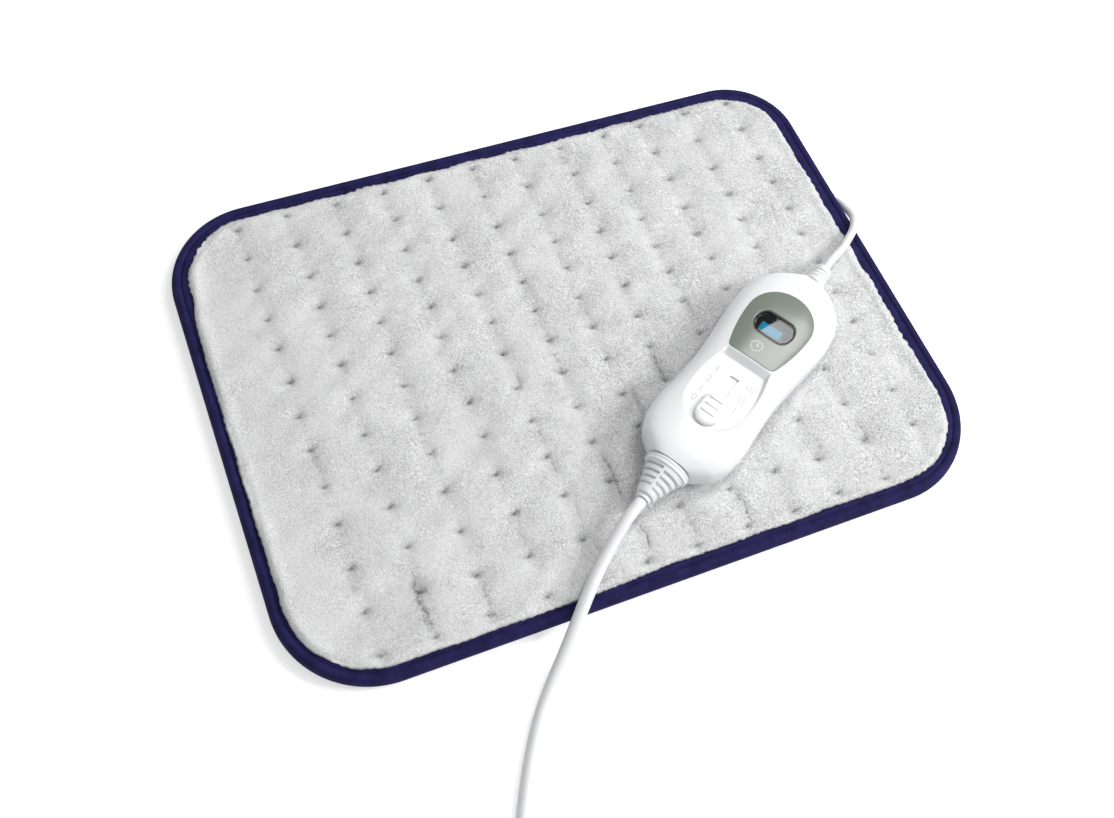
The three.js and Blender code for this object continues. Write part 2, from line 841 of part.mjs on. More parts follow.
addPiece(controller, 'lower_housing', toGeometry(buildLowerHousing()), 'shell');
addPiece(controller, 'upper_housing', toGeometry(buildUpperHousing()), 'shell');

// Display panel, window, screen and the light box under it
const panelSkin = toSolid(prism(panelShape(0), housingSplit, skyHigh, panelCurve))
  .intersect(housingOuter.subtract(housingForm(panelThickness, 0)))
  .subtract(toSolid(prism(windowShape(touchGap), 0, skyHigh)));
addPiece(controller, 'display_panel', toGeometry(panelSkin), 'panel');

const windowSeat = housingSplit + housingTopHeight - panelThickness - 2 * touchGap;
const windowUpper = toSolid(prism(windowShape(0), windowSeat + touchGap, windowTop));
const windowLower = toSolid(prism(windowShape(-windowRebate), windowTop - windowDepth, windowTop));
const windowRim = windowUpper.subtract(housingForm(panelThickness + touchGap, 0).subtract(
  toSolid(prism(windowShape(-windowRebate), 0, skyHigh))));
addPiece(controller, 'display_window', toGeometry(windowRim.add(windowLower)), 'glass');

const lcdTop = windowTop - windowDepth - touchGap;
const lcdBottom = lcdTop - lcdThickness;
addPiece(controller, 'display_screen',
  block(windowX - lcdHalfX, windowX + lcdHalfX, -lcdHalfY, lcdHalfY, lcdBottom, lcdTop), 'lcd');

const lightBox = toSolid(block(windowX - lightBoxHalfX, windowX + lightBoxHalfX,
  -lightBoxHalfY, lightBoxHalfY, boardTop + touchGap, lcdBottom - touchGap));
const hollowX = lcdHalfX - lightBoxWall;
const hollowY = lcdHalfY - lightBoxWall;
const lightHollow = toSolid(block(windowX - hollowX, windowX + hollowX,
  -hollowY, hollowY, boardTop + lightBoxWall, skyHigh));
addPiece(controller, 'display_light_box', toGeometry(lightBox.subtract(lightHollow)), 'shell');

// Slide knob with its stem, the shutter below the slot and the switch it drives
function knobOutline(grow) {
  const shape = new THREE.Shape();
  const round = knobWidth / 2 + grow;
  const straight = (knobLength - knobWidth) / 2;
  shape.absarc(straight, 0, round, -Math.PI / 2, Math.PI / 2);
  shape.absarc(-straight, 0, round, Math.PI / 2, 1.5 * Math.PI);
  shape.closePath();
  return shape;
}

const shutterTop = recessFloor - recessFloorThickness - touchGap;
const shutterBottom = shutterTop - shutterThickness;
const footTop = shutterBottom - touchGap;
const footBottom = footTop - footHeight;
const switchBottom = boardTop + touchGap;
const switchTop = switchBottom + switchHeight;

function buildKnob() {
  const base = recessFloor + touchGap;
  const capGeometry = new THREE.ExtrudeGeometry(knobOutline(-knobEdge), {
    depth: knobHeight - 2 * knobEdge,
    bevelThickness: knobEdge,
    bevelSize: knobEdge,
    bevelSegments: 2,
    curveSegments: 7,
  });
  capGeometry.translate(0, 0, base + knobEdge);
  let knob = toSolid(capGeometry);
  for (let i = 0; i < knobRibCount; i += 1) {
    const x = knobRibFirst + i * knobRibPitch;
    const rib = block(x - knobRibWidth / 2, x + knobRibWidth / 2, -knobRibLength / 2, knobRibLength / 2,
      base + knobEdge, base + knobHeight + knobRibHeight);
    knob = knob.add(toSolid(rib));
  }
  const half = stemLength / 2;
  const stem = toSolid(block(-half, half, -stemWidth / 2, stemWidth / 2, footBottom, base + knobEdge));
  const footHalf = stemWidth / 2 + footLap;
  const foot = toSolid(block(-half, half, -footHalf, footHalf, footBottom, footTop));
  const nestHalf = leverLength / 2 + touchGap;
  const nestSide = leverWidth / 2 + touchGap;
  const nest = block(-nestHalf, nestHalf, -nestSide, nestSide, 0, footBottom + leverNest);
  const whole = knob.add(stem).add(foot).subtract(toSolid(nest));
  return toGeometry(whole.translate([knobX, 0, 0]));
}

addPiece(controller, 'slide_knob', buildKnob(), 'shell');

const shutterHalfLength = slideTravel + stemLength / 2 + slotEndGap + shutterEndLap;
const shutterHalfWidth = slotHalf + shutterSideLap;
const shutterPlate = toSolid(block(knobX - shutterHalfLength, knobX + shutterHalfLength,
  -shutterHalfWidth, shutterHalfWidth, shutterBottom, shutterTop));
const shutterHole = toSolid(block(knobX - stemLength / 2 - touchGap, knobX + stemLength / 2 + touchGap,
  -stemWidth / 2 - touchGap, stemWidth / 2 + touchGap, 0, skyHigh));
addPiece(controller, 'slot_shutter', toGeometry(shutterPlate.subtract(shutterHole)), 'shell');

const switchCentre = knobX + slideTravel / 2;
const switchFrom = switchCentre - switchLength / 2;
const switchTo = switchCentre + switchLength / 2;
const leverSlotFrom = knobX - leverLength / 2 - runningGap;
const leverSlotTo = knobX + leverLength / 2 + slideTravel + runningGap;
const leverSide = leverWidth / 2 + runningGap;
const switchHalf = switchWidth / 2;
const switchHollow = switchHalf - switchWall;
const leverSlotFloor = switchTop - 2 * switchWall;
const switchShell = toSolid(block(switchFrom, switchTo, -switchHalf, switchHalf, switchBottom, switchTop))
  .subtract(toSolid(block(switchFrom + switchWall, switchTo - switchWall,
    -switchHollow, switchHollow, switchBottom + switchWall, switchTop - switchWall)))
  .subtract(toSolid(block(leverSlotFrom, leverSlotTo, -leverSide, leverSide, leverSlotFloor, skyHigh)));
addPiece(controller, 'slide_switch_case', toGeometry(switchShell), 'dark');

const leverFootBottom = switchBottom + switchWall + touchGap;
const leverFootSide = switchHollow - runningGap;
const lever = toSolid(block(knobX - leverLength / 2, knobX + leverLength / 2, -leverWidth / 2, leverWidth / 2,
  leverFootBottom, footBottom + leverNest - touchGap))
  .add(toSolid(block(knobX - switchFootLength / 2, knobX + switchFootLength / 2,
    -leverFootSide, leverFootSide, leverFootBottom, leverFootBottom + switchFootHeight)));
addPiece(controller, 'slide_switch_lever', toGeometry(lever), 'dark');

// Circuit board with notches round the screw posts
function buildBoard() {
  const shape = new THREE.Shape();
  const [x0, x1, y1] = [boardMainsEnd + boardCorner, boardPadEnd - boardCorner, boardHalfWidth - boardCorner];
  shape.absarc(x1, y1, boardCorner, 0, Math.PI / 2);
  shape.absarc(x0, y1, boardCorner, Math.PI / 2, Math.PI);
  shape.absarc(x0, -y1, boardCorner, Math.PI, 1.5 * Math.PI);
  shape.absarc(x1, -y1, boardCorner, 1.5 * Math.PI, 2 * Math.PI);
  let board = toSolid(prism(shape, boardBottom, boardTop, boardCornerSteps));
  for (const [x, y] of screwPlaces()) {
    const notch = post(x, y, 0, skyHigh, screwHeadRadius + bossWall + runningGap);
    board = board.subtract(toSolid(notch));
  }
  return toGeometry(board);
}

addPiece(controller, 'circuit_board', buildBoard(), 'board');

// Parts on the board
const partFoot = boardTop + touchGap;
const boardBlocks = [
  ['film_capacitor', 'amber', filmCapacitor],
  ['power_triac', 'dark', powerTriac],
  ['mains_terminal', 'ceramic', mainsTerminal],
  ['pad_terminal', 'ceramic', padTerminal],
  ['control_chip', 'dark', controlChip],
  ['fuse_holder', 'ceramic', fuseHolder],
];
for (const [name, finish, { x, y, halfX, halfY, height }] of boardBlocks) {
  const body = block(x - halfX, x + halfX, y - halfY, y + halfY, partFoot, partFoot + height);
  addPiece(controller, name, body, finish);
}

const fuse = bar(fuseHolder.x - fuseLength / 2, fuseHolder.x + fuseLength / 2, 0, fuseRadius, fuseSides);
fuse.translate(0, fuseHolder.y, partFoot + fuseHolder.height + touchGap + fuseRadius);
addPiece(controller, 'mains_fuse', fuse, 'glass');
const can = post(canX, canY, partFoot, partFoot + canHeight, canRadius, canSides);
addPiece(controller, 'smoothing_capacitor', can, 'dark');

// Strain relief of the mains lead: an oval collar, then slotted rings on a spine
function reliefRing(x, halfY, halfZ) {
  const ring = [];
  for (let j = 0; j < mainsReliefSides; j += 1) {
    const angle = (j / mainsReliefSides) * 2 * Math.PI;
    ring.push([x, halfY * Math.cos(angle), housingSplit + halfZ * Math.sin(angle)]);
  }
  return ring;
}

const reliefRoot = housingMainsEnd - touchGap;
const reliefTip = reliefRoot - mainsReliefLength;
const sleeveTip = reliefTip - mainsSleeveLength;

function buildMainsRelief() {
  const taper = mainsReliefLength - mainsCollarBand;
  const at = (share) => [
    mainsTipRadius + (mainsCollarHalf - mainsCollarStep - mainsTipRadius) * share,
    mainsTipRadius + (mainsCollarRise - mainsCollarStep - mainsTipRadius) * share,
  ];
  const rings = [
    reliefRing(sleeveTip, mainsDiameter / 2 + mainsSleeveWall, mainsDiameter / 2 + mainsSleeveWall),
    reliefRing(reliefTip, mainsDiameter / 2 + mainsSleeveWall, mainsDiameter / 2 + mainsSleeveWall),
    reliefRing(reliefTip, mainsTipRadius - mainsCollarStep, mainsTipRadius - mainsCollarStep),
  ];
  for (const [along, wide] of reliefTaper) {
    rings.push(reliefRing(reliefTip + taper * along, ...at(wide)));
  }
  const bandMiddle = reliefRoot - mainsCollarBand / 2;
  rings.push(reliefRing(reliefRoot - mainsCollarBand, mainsCollarHalf, mainsCollarRise));
  rings.push(reliefRing(bandMiddle, mainsCollarHalf, mainsCollarRise));
  rings.push(reliefRing(bandMiddle, mainsCollarHalf - mainsCollarStep, mainsCollarRise - mainsCollarStep));
  rings.push(reliefRing(reliefRoot, mainsCollarHalf, mainsCollarRise));
  let relief = toSolid(loftOver(rings.map((ring) => ring.toReversed()).toReversed()));
  const flangeFrom = housingMainsEnd + housingEndWall + touchGap;
  const flangeTo = flangeFrom + flangeThickness;
  const neck = bar(reliefRoot - mainsCollarBand, flangeTo, housingSplit, mainsNeckRadius, mainsReliefSides);
  const flange = bar(flangeFrom, flangeTo, housingSplit, mainsFlangeRadius, mainsReliefSides);
  relief = relief.add(toSolid(neck)).add(toSolid(flange));
  for (let i = 0; i < mainsSlotCount; i += 1) {
    const x = reliefRoot - mainsSlotFirst - i * mainsSlotPitch;
    const [from, to] = [x - mainsSlotPitch, x + mainsSlotPitch];
    const slab = toSolid(block(x - mainsSlotWidth / 2, x + mainsSlotWidth / 2,
      -mainsCollarHalf - cutOverrun, mainsCollarHalf + cutOverrun, 0, skyHigh));
    const core = toSolid(bar(from, to, housingSplit, mainsDiameter / 2 + mainsSlotCore, mainsReliefSides));
    const spine = toSolid(block(from, to, -mainsSpineHalf, mainsSpineHalf, 0, skyHigh));
    relief = relief.subtract(slab.subtract(core).subtract(spine));
  }
  const bore = bar(reliefTip, housingMainsEnd + housingEndWall + flangeThickness + cutOverrun,
    housingSplit, mainsDiameter / 2 + touchGap, mainsReliefSides);
  bore.translate(flangeThickness + mainsReliefLength, 0, 0);
  return toGeometry(relief.subtract(toSolid(bore)));
}

addPiece(controller, 'mains_strain_relief', buildMainsRelief(), 'cord');

// Strain relief of the pad lead: a round boot with shallow grooves
const padReliefStart = housingPadEnd + touchGap;
const padReliefEnd = padReliefStart + padReliefLength;

function buildPadRelief() {
  const neckEnd = housingPadEnd - housingEndWall - touchGap;
  const profile = [
    [0, neckEnd - flangeThickness],
    [padFlangeRadius, neckEnd - flangeThickness],
    [padFlangeRadius, neckEnd],
    [padNeckRadius, neckEnd],
    [padNeckRadius, padReliefStart],
    [padReliefRoot, padReliefStart],
  ];
  for (let i = 0; i < padGrooveCount; i += 1) {
    const x = padReliefStart + padGrooveFirst + i * padGroovePitch;
    const share = Math.sqrt(i / (padGrooveCount - 1));
    const radius = padReliefRoot + (padReliefRadius - padReliefRoot) * share;
    profile.push(
      [radius, x],
      [radius - padGrooveDepth, x + padGrooveWidth / 2],
      [radius, x + padGrooveWidth],
    );
  }
  profile.push(
    [padReliefRadius, padReliefEnd - padReliefTaperEnd / 2],
    [padReliefTip, padReliefEnd],
    [0, padReliefEnd],
  );
  return turnedAlongX(profile, housingSplit, padReliefSides);
}

addPiece(controller, 'pad_strain_relief', buildPadRelief(), 'cord');

// Tails of both leads inside the housing, their clamps, and the cores to the terminals
const mainsTailFrom = housingMainsEnd + housingEndWall + flangeThickness + 2 * touchGap;
const mainsTailTo = mainsClampX + clampLength / 2 + tailEnd / 2;
const mainsTail = bar(mainsTailFrom, mainsTailTo, housingSplit, mainsDiameter / 2, cordSides);
addPiece(controller, 'mains_lead_tail', mainsTail, 'cord');
const padTailTo = housingPadEnd - housingEndWall - flangeThickness - 2 * touchGap;
const padTailFrom = padClampX - clampLength / 2 - tailEnd / 2;
const padTail = bar(padTailFrom, padTailTo, housingSplit, padLeadDiameter / 2, cordSides);
addPiece(controller, 'pad_lead_tail', padTail, 'cord');

function buildClamp(x, diameter, seat) {
  const half = diameter / 2;
  const ear = half + clampEar;
  const top = housingSplit + half + clampBridge;
  const [from, to] = [x - clampLength / 2, x + clampLength / 2];
  const foot = seat + touchGap;
  const channelHalf = half + touchGap;
  const bridge = toSolid(block(from, to, -half - clampBridge, half + clampBridge, foot, top));
  const ears = toSolid(block(from, to, -ear, ear, foot, foot + clampBridge));
  const channel = toSolid(bar(x - clampLength, x + clampLength, housingSplit, channelHalf, cordSides));
  const under = toSolid(block(x - clampLength, x + clampLength, -channelHalf, channelHalf, 0, housingSplit));
  let clamp = bridge.add(ears).subtract(channel).subtract(under);
  for (const side of [-1, 1]) {
    const y = side * (half + clampScrewOff);
    clamp = clamp.subtract(toSolid(post(x, y, 0, skyHigh, screwShankRadius + runningGap)));
  }
  return toGeometry(clamp);
}

addPiece(controller, 'mains_lead_clamp', buildClamp(mainsClampX, mainsDiameter, clampSeat), 'shell');
addPiece(controller, 'pad_lead_clamp', buildClamp(padClampX, padLeadDiameter, padClampSeat), 'shell');

function screwGeometry(x, y, headTop, shankEnd) {
  const down = shankEnd > headTop ? 1 : -1;
  const profile = [
    [0, headTop],
    [screwHeadRadius, headTop],
    [screwHeadRadius, headTop + down * screwHeadHeight / 2],
    [screwShankRadius, headTop + down * screwHeadHeight],
    [screwShankRadius, shankEnd - down * screwShankRadius],
    [0, shankEnd],
  ];
  const geometry = turned(down > 0 ? profile : profile.toReversed(), screwSides);
  geometry.rotateX(Math.PI / 2);
  geometry.translate(x, y, 0);
  return geometry;
}

screwPlaces().forEach(([x, y], i) => {
  const headSeat = housingSeat + headBore - touchGap;
  const screw = screwGeometry(x, y, headSeat - screwHeadHeight, housingSplit + housingScrewBite);
  addPiece(controller, `housing_screw_${i + 1}`, screw, 'steel');
});

clampScrewPlaces().forEach(([x, y, seat], i) => {
  const headTop = seat + touchGap + clampBridge + touchGap + screwHeadHeight;
  addPiece(controller, `clamp_screw_${i + 1}`, screwGeometry(x, y, headTop, seat - clampScrewBite), 'steel');
});

// Cores between the lead tails and the terminals
const mainsTerminalFace = mainsTerminal.x - mainsTerminal.halfX - touchGap;
[-1, 1].forEach((side, i) => {
  const apart = side * mainsCoreApart;
  const height = housingSplit + mainsCoreRise * (1 + side);
  const points = [
    [mainsTailTo + touchGap, apart, housingSplit],
    [mainsTailTo + coreDiameter, apart, housingSplit],
    [mainsTerminalFace - coreDiameter, mainsTerminal.y + apart, height],
    [mainsTerminalFace, mainsTerminal.y + apart, height],
  ];
  addPiece(controller, `mains_core_${i + 1}`, tubeThrough(points, coreDiameter / 2, coreSides), 'dark');
});

const padTerminalFace = padTerminal.x + padTerminal.halfX + touchGap;
[-1, 0, 1].forEach((place, i) => {
  const core = bar(padTerminalFace, padTailFrom - touchGap, housingSplit, padCoreDiameter / 2, coreSides);
  core.translate(0, place * padCoreSpacing, 0);
  addPiece(controller, `pad_core_${i + 1}`, core, 'dark');
});

// Pad layers: the covers, the wadding and the carrier that holds the heating wire
const boxTurn = THREE.MathUtils.degToRad(terminalBoxTurn);
const terminalBottom = bottomCoverTop + touchGap;
const layersInset = layerInset + coverRimOverlap + touchGap;

function terminalForm(grow) {
  const half = terminalBoxLength / 2 + grow;
  const side = terminalBoxWidth / 2 + grow;
  const top = terminalBottom + terminalBoxHeight + grow;
  const geometry = block(-half, half, -side, side, terminalBottom - grow, top);
  geometry.rotateZ(boxTurn);
  geometry.translate(terminalBoxX, terminalBoxY, 0);
  return geometry;
}

function besideBox(along, aside) {
  return [
    terminalBoxX + along * Math.cos(boxTurn) - aside * Math.sin(boxTurn),
    terminalBoxY + along * Math.sin(boxTurn) + aside * Math.cos(boxTurn),
  ];
}

const boxMouth = [...besideBox(terminalBoxLength / 2 + touchGap, 0), padLeadHeight];
const innerLead = smoothPath([boxMouth, ...padLeadInside, padLeadExit], padLeadStep);
const exitStep = padLeadRoute[0].map((v, k) => v - padLeadExit[k]);
const exitReach = Math.hypot(...exitStep);
const freeLeadStart = padLeadExit.map((v, k) => v + (exitStep[k] / exitReach) * touchGap);

function controllerPlace(x, y, z) {
  const turn = THREE.MathUtils.degToRad(controllerTurn);
  return [
    controllerX + x * Math.cos(turn) - y * Math.sin(turn),
    controllerY + x * Math.sin(turn) + y * Math.cos(turn),
    z,
  ];
}

const freeLeadPath = smoothPath([
  freeLeadStart,
  ...padLeadRoute,
  controllerPlace(padReliefEnd + padLeadStraight, 0, housingSplit),
  controllerPlace(padReliefEnd + touchGap, 0, housingSplit),
], padLeadStep);

// Room that the lead takes on its way out through the layers and the binding
function leadChannel() {
  const through = [...innerLead, ...freeLeadPath.slice(0, Math.ceil(freeLeadPath.length / 2))];
  return toSolid(tubeThrough(through, padLeadDiameter / 2 + touchGap, padLeadSides));
}

const leadRoom = leadChannel().add(toSolid(terminalForm(touchGap)));

function ringBetween(outerInset, innerInset, z0, z1) {
  return padSlab(outerInset, z0, z1).subtract(padSlab(innerInset, z0 - cutOverrun, z1 + cutOverrun));
}

const rimInner = layerInset + coverRimOverlap;
const lowerRimBottom = bindingWall + touchGap;
const lowerRimTop = lowerRimBottom + coverRimThickness;
const bottomCover = padSlab(layerInset, 0, coverThickness)
  .add(ringBetween(layerInset, rimInner, coverThickness / 2, lowerRimTop))
  .add(ringBetween(rimInset, rimInner, lowerRimBottom, lowerRimTop))
  .subtract(leadRoom);
addPiece(part, 'pad_bottom_cover', toGeometry(bottomCover), 'fleece');

const layers = [
  ['pad_lower_wadding', lowerWaddingBottom, waddingThickness, 'wadding'],
  ['pad_wire_carrier', carrierBottom, carrierThickness, 'wadding'],
  ['pad_upper_wadding', upperWaddingBottom, upperWaddingThickness, 'wadding'],
];
for (const [name, bottom, thickness, finish] of layers) {
  const layer = padSlab(layersInset, bottom, bottom + thickness).subtract(leadRoom);
  addPiece(part, name, toGeometry(layer), finish);
}

// Heating wire: runs across the pad, joined by half-round bends, with one way back to the box
const wireSpacing = (wireLastX - wireFirstX) / (wireRuns - 1);

function wirePath() {
  const z = wireHeight;
  const bend = wireSpacing / 2;
  const back = -terminalBoxLength / 2 - touchGap;
  const points = [
    [...besideBox(back, -terminalWireOff), z],
    [...besideBox(back - wireLeadOut, -terminalWireOff), z],
    [wireLastX + bend / 2, terminalBoxY + wireRise, z],
    [wireLastX, terminalBoxY, z],
  ];
  for (let run = 0; run < wireRuns - 1; run += 1) {
    const x = wireLastX - run * wireSpacing;
    const side = run % 2 === 0 ? -1 : 1;
    for (let k = 0; k <= wireBendSteps; k += 1) {
      const angle = (k / wireBendSteps) * Math.PI;
      points.push([x - bend + bend * Math.cos(angle), side * (wireRunEnd + bend * Math.sin(angle)), z]);
    }
  }
  points.push(
    [wireFirstX, wireReturnY - 2 * bend, z],
    [wireFirstX + bend / 4, wireReturnY - bend / 2, z],
    [wireFirstX + bend, wireReturnY, z],
    [wireLastX - bend / 2, wireReturnY, z],
    [wireLastX + bend / 2, wireReturnY - bend / 2, z],
    [...besideBox(back - 2 * bend, terminalWireOff + bend / 2), z],
    [...besideBox(back - wireLeadOut, terminalWireOff), z],
    [...besideBox(back, terminalWireOff), z],
  );
  return points;
}

addPiece(part, 'heating_wire', tubeThrough(wirePath(), wireDiameter / 2, wireSides), 'wire');
addPiece(part, 'terminal_box', terminalForm(0), 'shell');
addPiece(part, 'pad_lead_inner', tubeThrough(innerLead, padLeadDiameter / 2, padLeadSides), 'cord');

cutoutRuns.forEach((run, i) => {
  const x = wireFirstX + (run + 1 / 2) * wireSpacing;
  const y = cutoutPlace * (i === 0 ? 1 : -1);
  const bottom = carrierTop + touchGap;
  addPiece(part, `thermal_cutout_${i + 1}`, block(x - cutoutWidth / 2, x + cutoutWidth / 2,
    y - cutoutLength / 2, y + cutoutLength / 2, bottom, bottom + cutoutHeight), 'dark');
});

// Top cover: a quilted field that dips at each tuft and fades to the binding
function fade(share) {
  const s = Math.min(Math.max(share, 0), 1);
  return s * s * (3 - 2 * s);
}

function insetAt(x, y) {
  const corner = cornerSides.findIndex(([sideX, sideY]) => sideX * x >= 0 && sideY * y >= 0);
  const radius = padCornerRadii[corner];
  const dx = Math.abs(x) - (padLength / 2 - radius);
  const dy = Math.abs(y) - (padWidth / 2 - radius);
  if (dx > 0 && dy > 0) return radius - Math.hypot(dx, dy);
  return radius - Math.max(dx, dy);
}

// How far a place lies outside the controller's outline
function besideController(x, y) {
  const turn = THREE.MathUtils.degToRad(controllerTurn);
  const dx = x - controllerX;
  const dy = y - controllerY;
  const along = dx * Math.cos(turn) + dy * Math.sin(turn);
  const across = dy * Math.cos(turn) - dx * Math.sin(turn);
  const ends = Math.max(housingMainsEnd - along, along - housingPadEnd, 0);
  return Math.hypot(ends, Math.max(0, Math.abs(across) - housingSizeAt(along, 1)));
}

function quiltHeight(x, y) {
  const alongX = Math.cos((2 * Math.PI * (x - tuftFieldX)) / tuftPitchX + (tuftColumns % 2 ? 0 : Math.PI));
  const alongY = Math.cos((2 * Math.PI * y) / tuftPitchY + (tuftRows % 2 ? 0 : Math.PI));
  const [t, r, c, m] = [quiltTuftHeight, quiltRowHeight, quiltColumnHeight, quiltCrownHeight];
  const height = (t * (1 + alongX) * (1 + alongY) + r * (1 - alongX) * (1 + alongY)
    + c * (1 + alongX) * (1 - alongY) + m * (1 - alongX) * (1 - alongY)) / 4;
  const edge = fade((insetAt(x, y) - layerInset) / quiltEdgeFade);
  const open = quiltEdgeHeight + (height - quiltEdgeHeight) * edge;
  const pressed = housingSeat - touchGap + besideController(x, y) * dentSlope;
  return Math.min(open, pressed);
}

function gridPlaces(half, middle, pitch) {
  const places = [-half];
  const first = Math.ceil((-half - middle) / (pitch / 2));
  for (let k = first; middle + (k * pitch) / 2 < half; k += 1) {
    const place = middle + (k * pitch) / 2;
    if (place - places.at(-1) > pitch / 8) places.push(place);
  }
  if (half - places.at(-1) < pitch / 8) places.pop();
  places.push(half);
  return places;
}

function quiltedSlab() {
  const middleX = tuftFieldX + (tuftColumns % 2 ? 0 : tuftPitchX / 2);
  const middleY = tuftRows % 2 ? 0 : tuftPitchY / 2;
  const xs = gridPlaces(padLength / 2 - layerInset, middleX, tuftPitchX);
  const ys = gridPlaces(padWidth / 2 - layerInset, middleY, tuftPitchY);
  const positions = [];
  const index = [];
  for (const y of ys) {
    for (const x of xs) positions.push(x, y, quiltHeight(x, y));
  }
  const columns = xs.length;
  for (let j = 0; j < ys.length - 1; j += 1) {
    for (let i = 0; i < columns - 1; i += 1) {
      const a = j * columns + i;
      index.push(a, a + 1, a + columns + 1, a, a + columns + 1, a + columns);
    }
  }
  const rim = [];
  for (let i = 0; i < columns; i += 1) rim.push(i);
  for (let j = 1; j < ys.length; j += 1) rim.push(j * columns + columns - 1);
  for (let i = columns - 2; i >= 0; i -= 1) rim.push((ys.length - 1) * columns + i);
  for (let j = ys.length - 2; j > 0; j -= 1) rim.push(j * columns);
  const below = positions.length / 3;
  for (const vertex of rim) positions.push(positions[3 * vertex], positions[3 * vertex + 1], topCoverBottom);
  const middle = positions.length / 3;
  positions.push(0, 0, topCoverBottom);
  rim.forEach((vertex, k) => {
    const next = (k + 1) % rim.length;
    index.push(vertex, below + k, below + next, vertex, below + next, rim[next]);
    index.push(middle, below + next, below + k);
  });
  const geometry = new THREE.BufferGeometry();
  geometry.setAttribute('position', new THREE.Float32BufferAttribute(positions, 3));
  geometry.setIndex(index);
  return toSolid(geometry);
}

function placedWithController(solid) {
  return solid.rotate([0, 0, controllerTurn]).translate([controllerX, controllerY, 0]);
}

const upperRimTop = bindingHeight - bindingWall - touchGap;
const collarRoom = bar(reliefRoot - mainsCollarBand - touchGap, reliefRoot, housingSplit,
  mainsCollarRise + touchGap, mainsReliefSides);
const handsetRoom = placedWithController(housingForm(-touchGap, -touchGap).add(toSolid(collarRoom)));
const topCover = quiltedSlab()
  .intersect(padSlab(layerInset, topCoverBottom - cutOverrun, quiltCrownHeight + cutOverrun))
  .add(ringBetween(rimInset, rimInner, topCoverBottom, upperRimTop))
  .subtract(handsetRoom)
  .subtract(leadRoom);
addPiece(part, 'pad_top_cover', toGeometry(topCover), 'fleece');

// Edge binding: a folded tape round the pad, open inwards, with a row of stitching pressed in
function bindingSection() {
  const rollSteps = 4;
  const rollWidth = bindingRollInset + stitchGrooveHalf;
  const points = [
    [bindingWidth, bindingHeight - bindingWall],
    [bindingWidth, bindingHeight - stitchGrooveDepth],
    [stitchGrooveInset + stitchGrooveHalf, bindingHeight - stitchGrooveDepth / 2],
    [stitchGrooveInset, bindingHeight - 1.5 * stitchGrooveDepth],
    [stitchGrooveInset - stitchGrooveHalf, bindingHeight - stitchGrooveDepth / 4],
  ];
  for (let k = 0; k <= rollSteps; k += 1) {
    const angle = Math.PI / 2 - (k / rollSteps) * Math.PI;
    points.push([rollWidth * (1 - Math.cos(angle)), (bindingHeight / 2) * (1 + Math.sin(angle))]);
  }
  points.push(
    [bindingWidth, 0],
    [bindingWidth, bindingWall],
    [bindingFoldDepth, bindingWall],
    [bindingFoldDepth, bindingHeight - bindingWall],
  );
  return points;
}

function buildBinding() {
  const section = bindingSection();
  const rings = [];
  cornerSides.forEach((sides, corner) => {
    for (let k = 0; k <= cornerSegments; k += 1) {
      rings.push(section.map(([inset, z]) => [...outlinePlace(corner, k, inset), z]));
    }
  });
  const count = section.length;
  const index = [];
  rings.forEach((ring, i) => {
    const next = ((i + 1) % rings.length) * count;
    for (let j = 0; j < count; j += 1) {
      const k = (j + 1) % count;
      index.push(i * count + j, i * count + k, next + k, i * count + j, next + k, next + j);
    }
  });
  const geometry = new THREE.BufferGeometry();
  geometry.setAttribute('position', new THREE.Float32BufferAttribute(rings.flat(2), 3));
  geometry.setIndex(index);
  return toSolid(geometry).subtract(leadChannel());
}

addPiece(part, 'pad_edge_binding', toGeometry(buildBinding()), 'binding');
addPiece(part, 'pad_lead', tubeThrough(freeLeadPath, padLeadDiameter / 2, padLeadSides), 'cord');

// Mains lead: the stretch from the controller, then the coil, then the stretch to the plug
const heading = THREE.MathUtils.degToRad(coilHeading);
const coilPitch = mainsDiameter + coilGap;
const coilOuterRadius = coilMeanRadius + (coilTurns / 4) * coilPitch;
const coilCentre = [
  coilEntry[0] - coilOuterRadius * Math.sin(heading),
  coilEntry[1] + coilOuterRadius * Math.cos(heading),
];
const coilBottom = mainsDiameter / 2 + tieThickness + touchGap + touchGap / 4;

function coilPoint(turn) {
  const half = coilTurns / 2;
  const radius = coilOuterRadius - coilPitch * (turn < half ? turn : coilTurns - turn);
  const climb = fade(turn - half + 0.5);
  const angle = heading - Math.PI / 2 + turn * 2 * Math.PI;
  return [
    coilCentre[0] + radius * Math.cos(angle),
    coilCentre[1] + radius * Math.sin(angle),
    coilBottom + coilPitch * climb,
  ];
}

const coilCount = Math.round(coilTurns * coilStepsPerTurn);
const leaving = heading + coilTurns * 2 * Math.PI;
const besideTurn = (angle, place, step) => [
  place[0] + Math.cos(angle) * step,
  place[1] + Math.sin(angle) * step,
  place[2],
];
const coilStart = besideTurn(heading, coilPoint(0), -mainsDiameter);
const coilTip = besideTurn(leaving, coilPoint(coilTurns), mainsDiameter);
const coilTurnsPath = Array.from({ length: coilCount + 1 }, (_, i) => coilPoint((i / coilCount) * coilTurns));
const coilPath = [coilStart, ...coilTurnsPath, coilTip];

const mainsStart = controllerPlace(sleeveTip - touchGap, 0, housingSplit);
const mainsStraightEnd = controllerPlace(sleeveTip - mainsStraight, 0, housingSplit - touchGap);
const coilJoin = besideTurn(heading, coilStart, -touchGap);
const mainsPath = smoothPath([mainsStart, mainsStraightEnd, ...mainsRoute, coilJoin], cordStep);
addPiece(part, 'mains_lead', tubeThrough(mainsPath, mainsDiameter / 2, cordSides), 'cord');
addPiece(part, 'mains_lead_coil', tubeThrough(coilPath, mainsDiameter / 2, coilSides), 'cord');

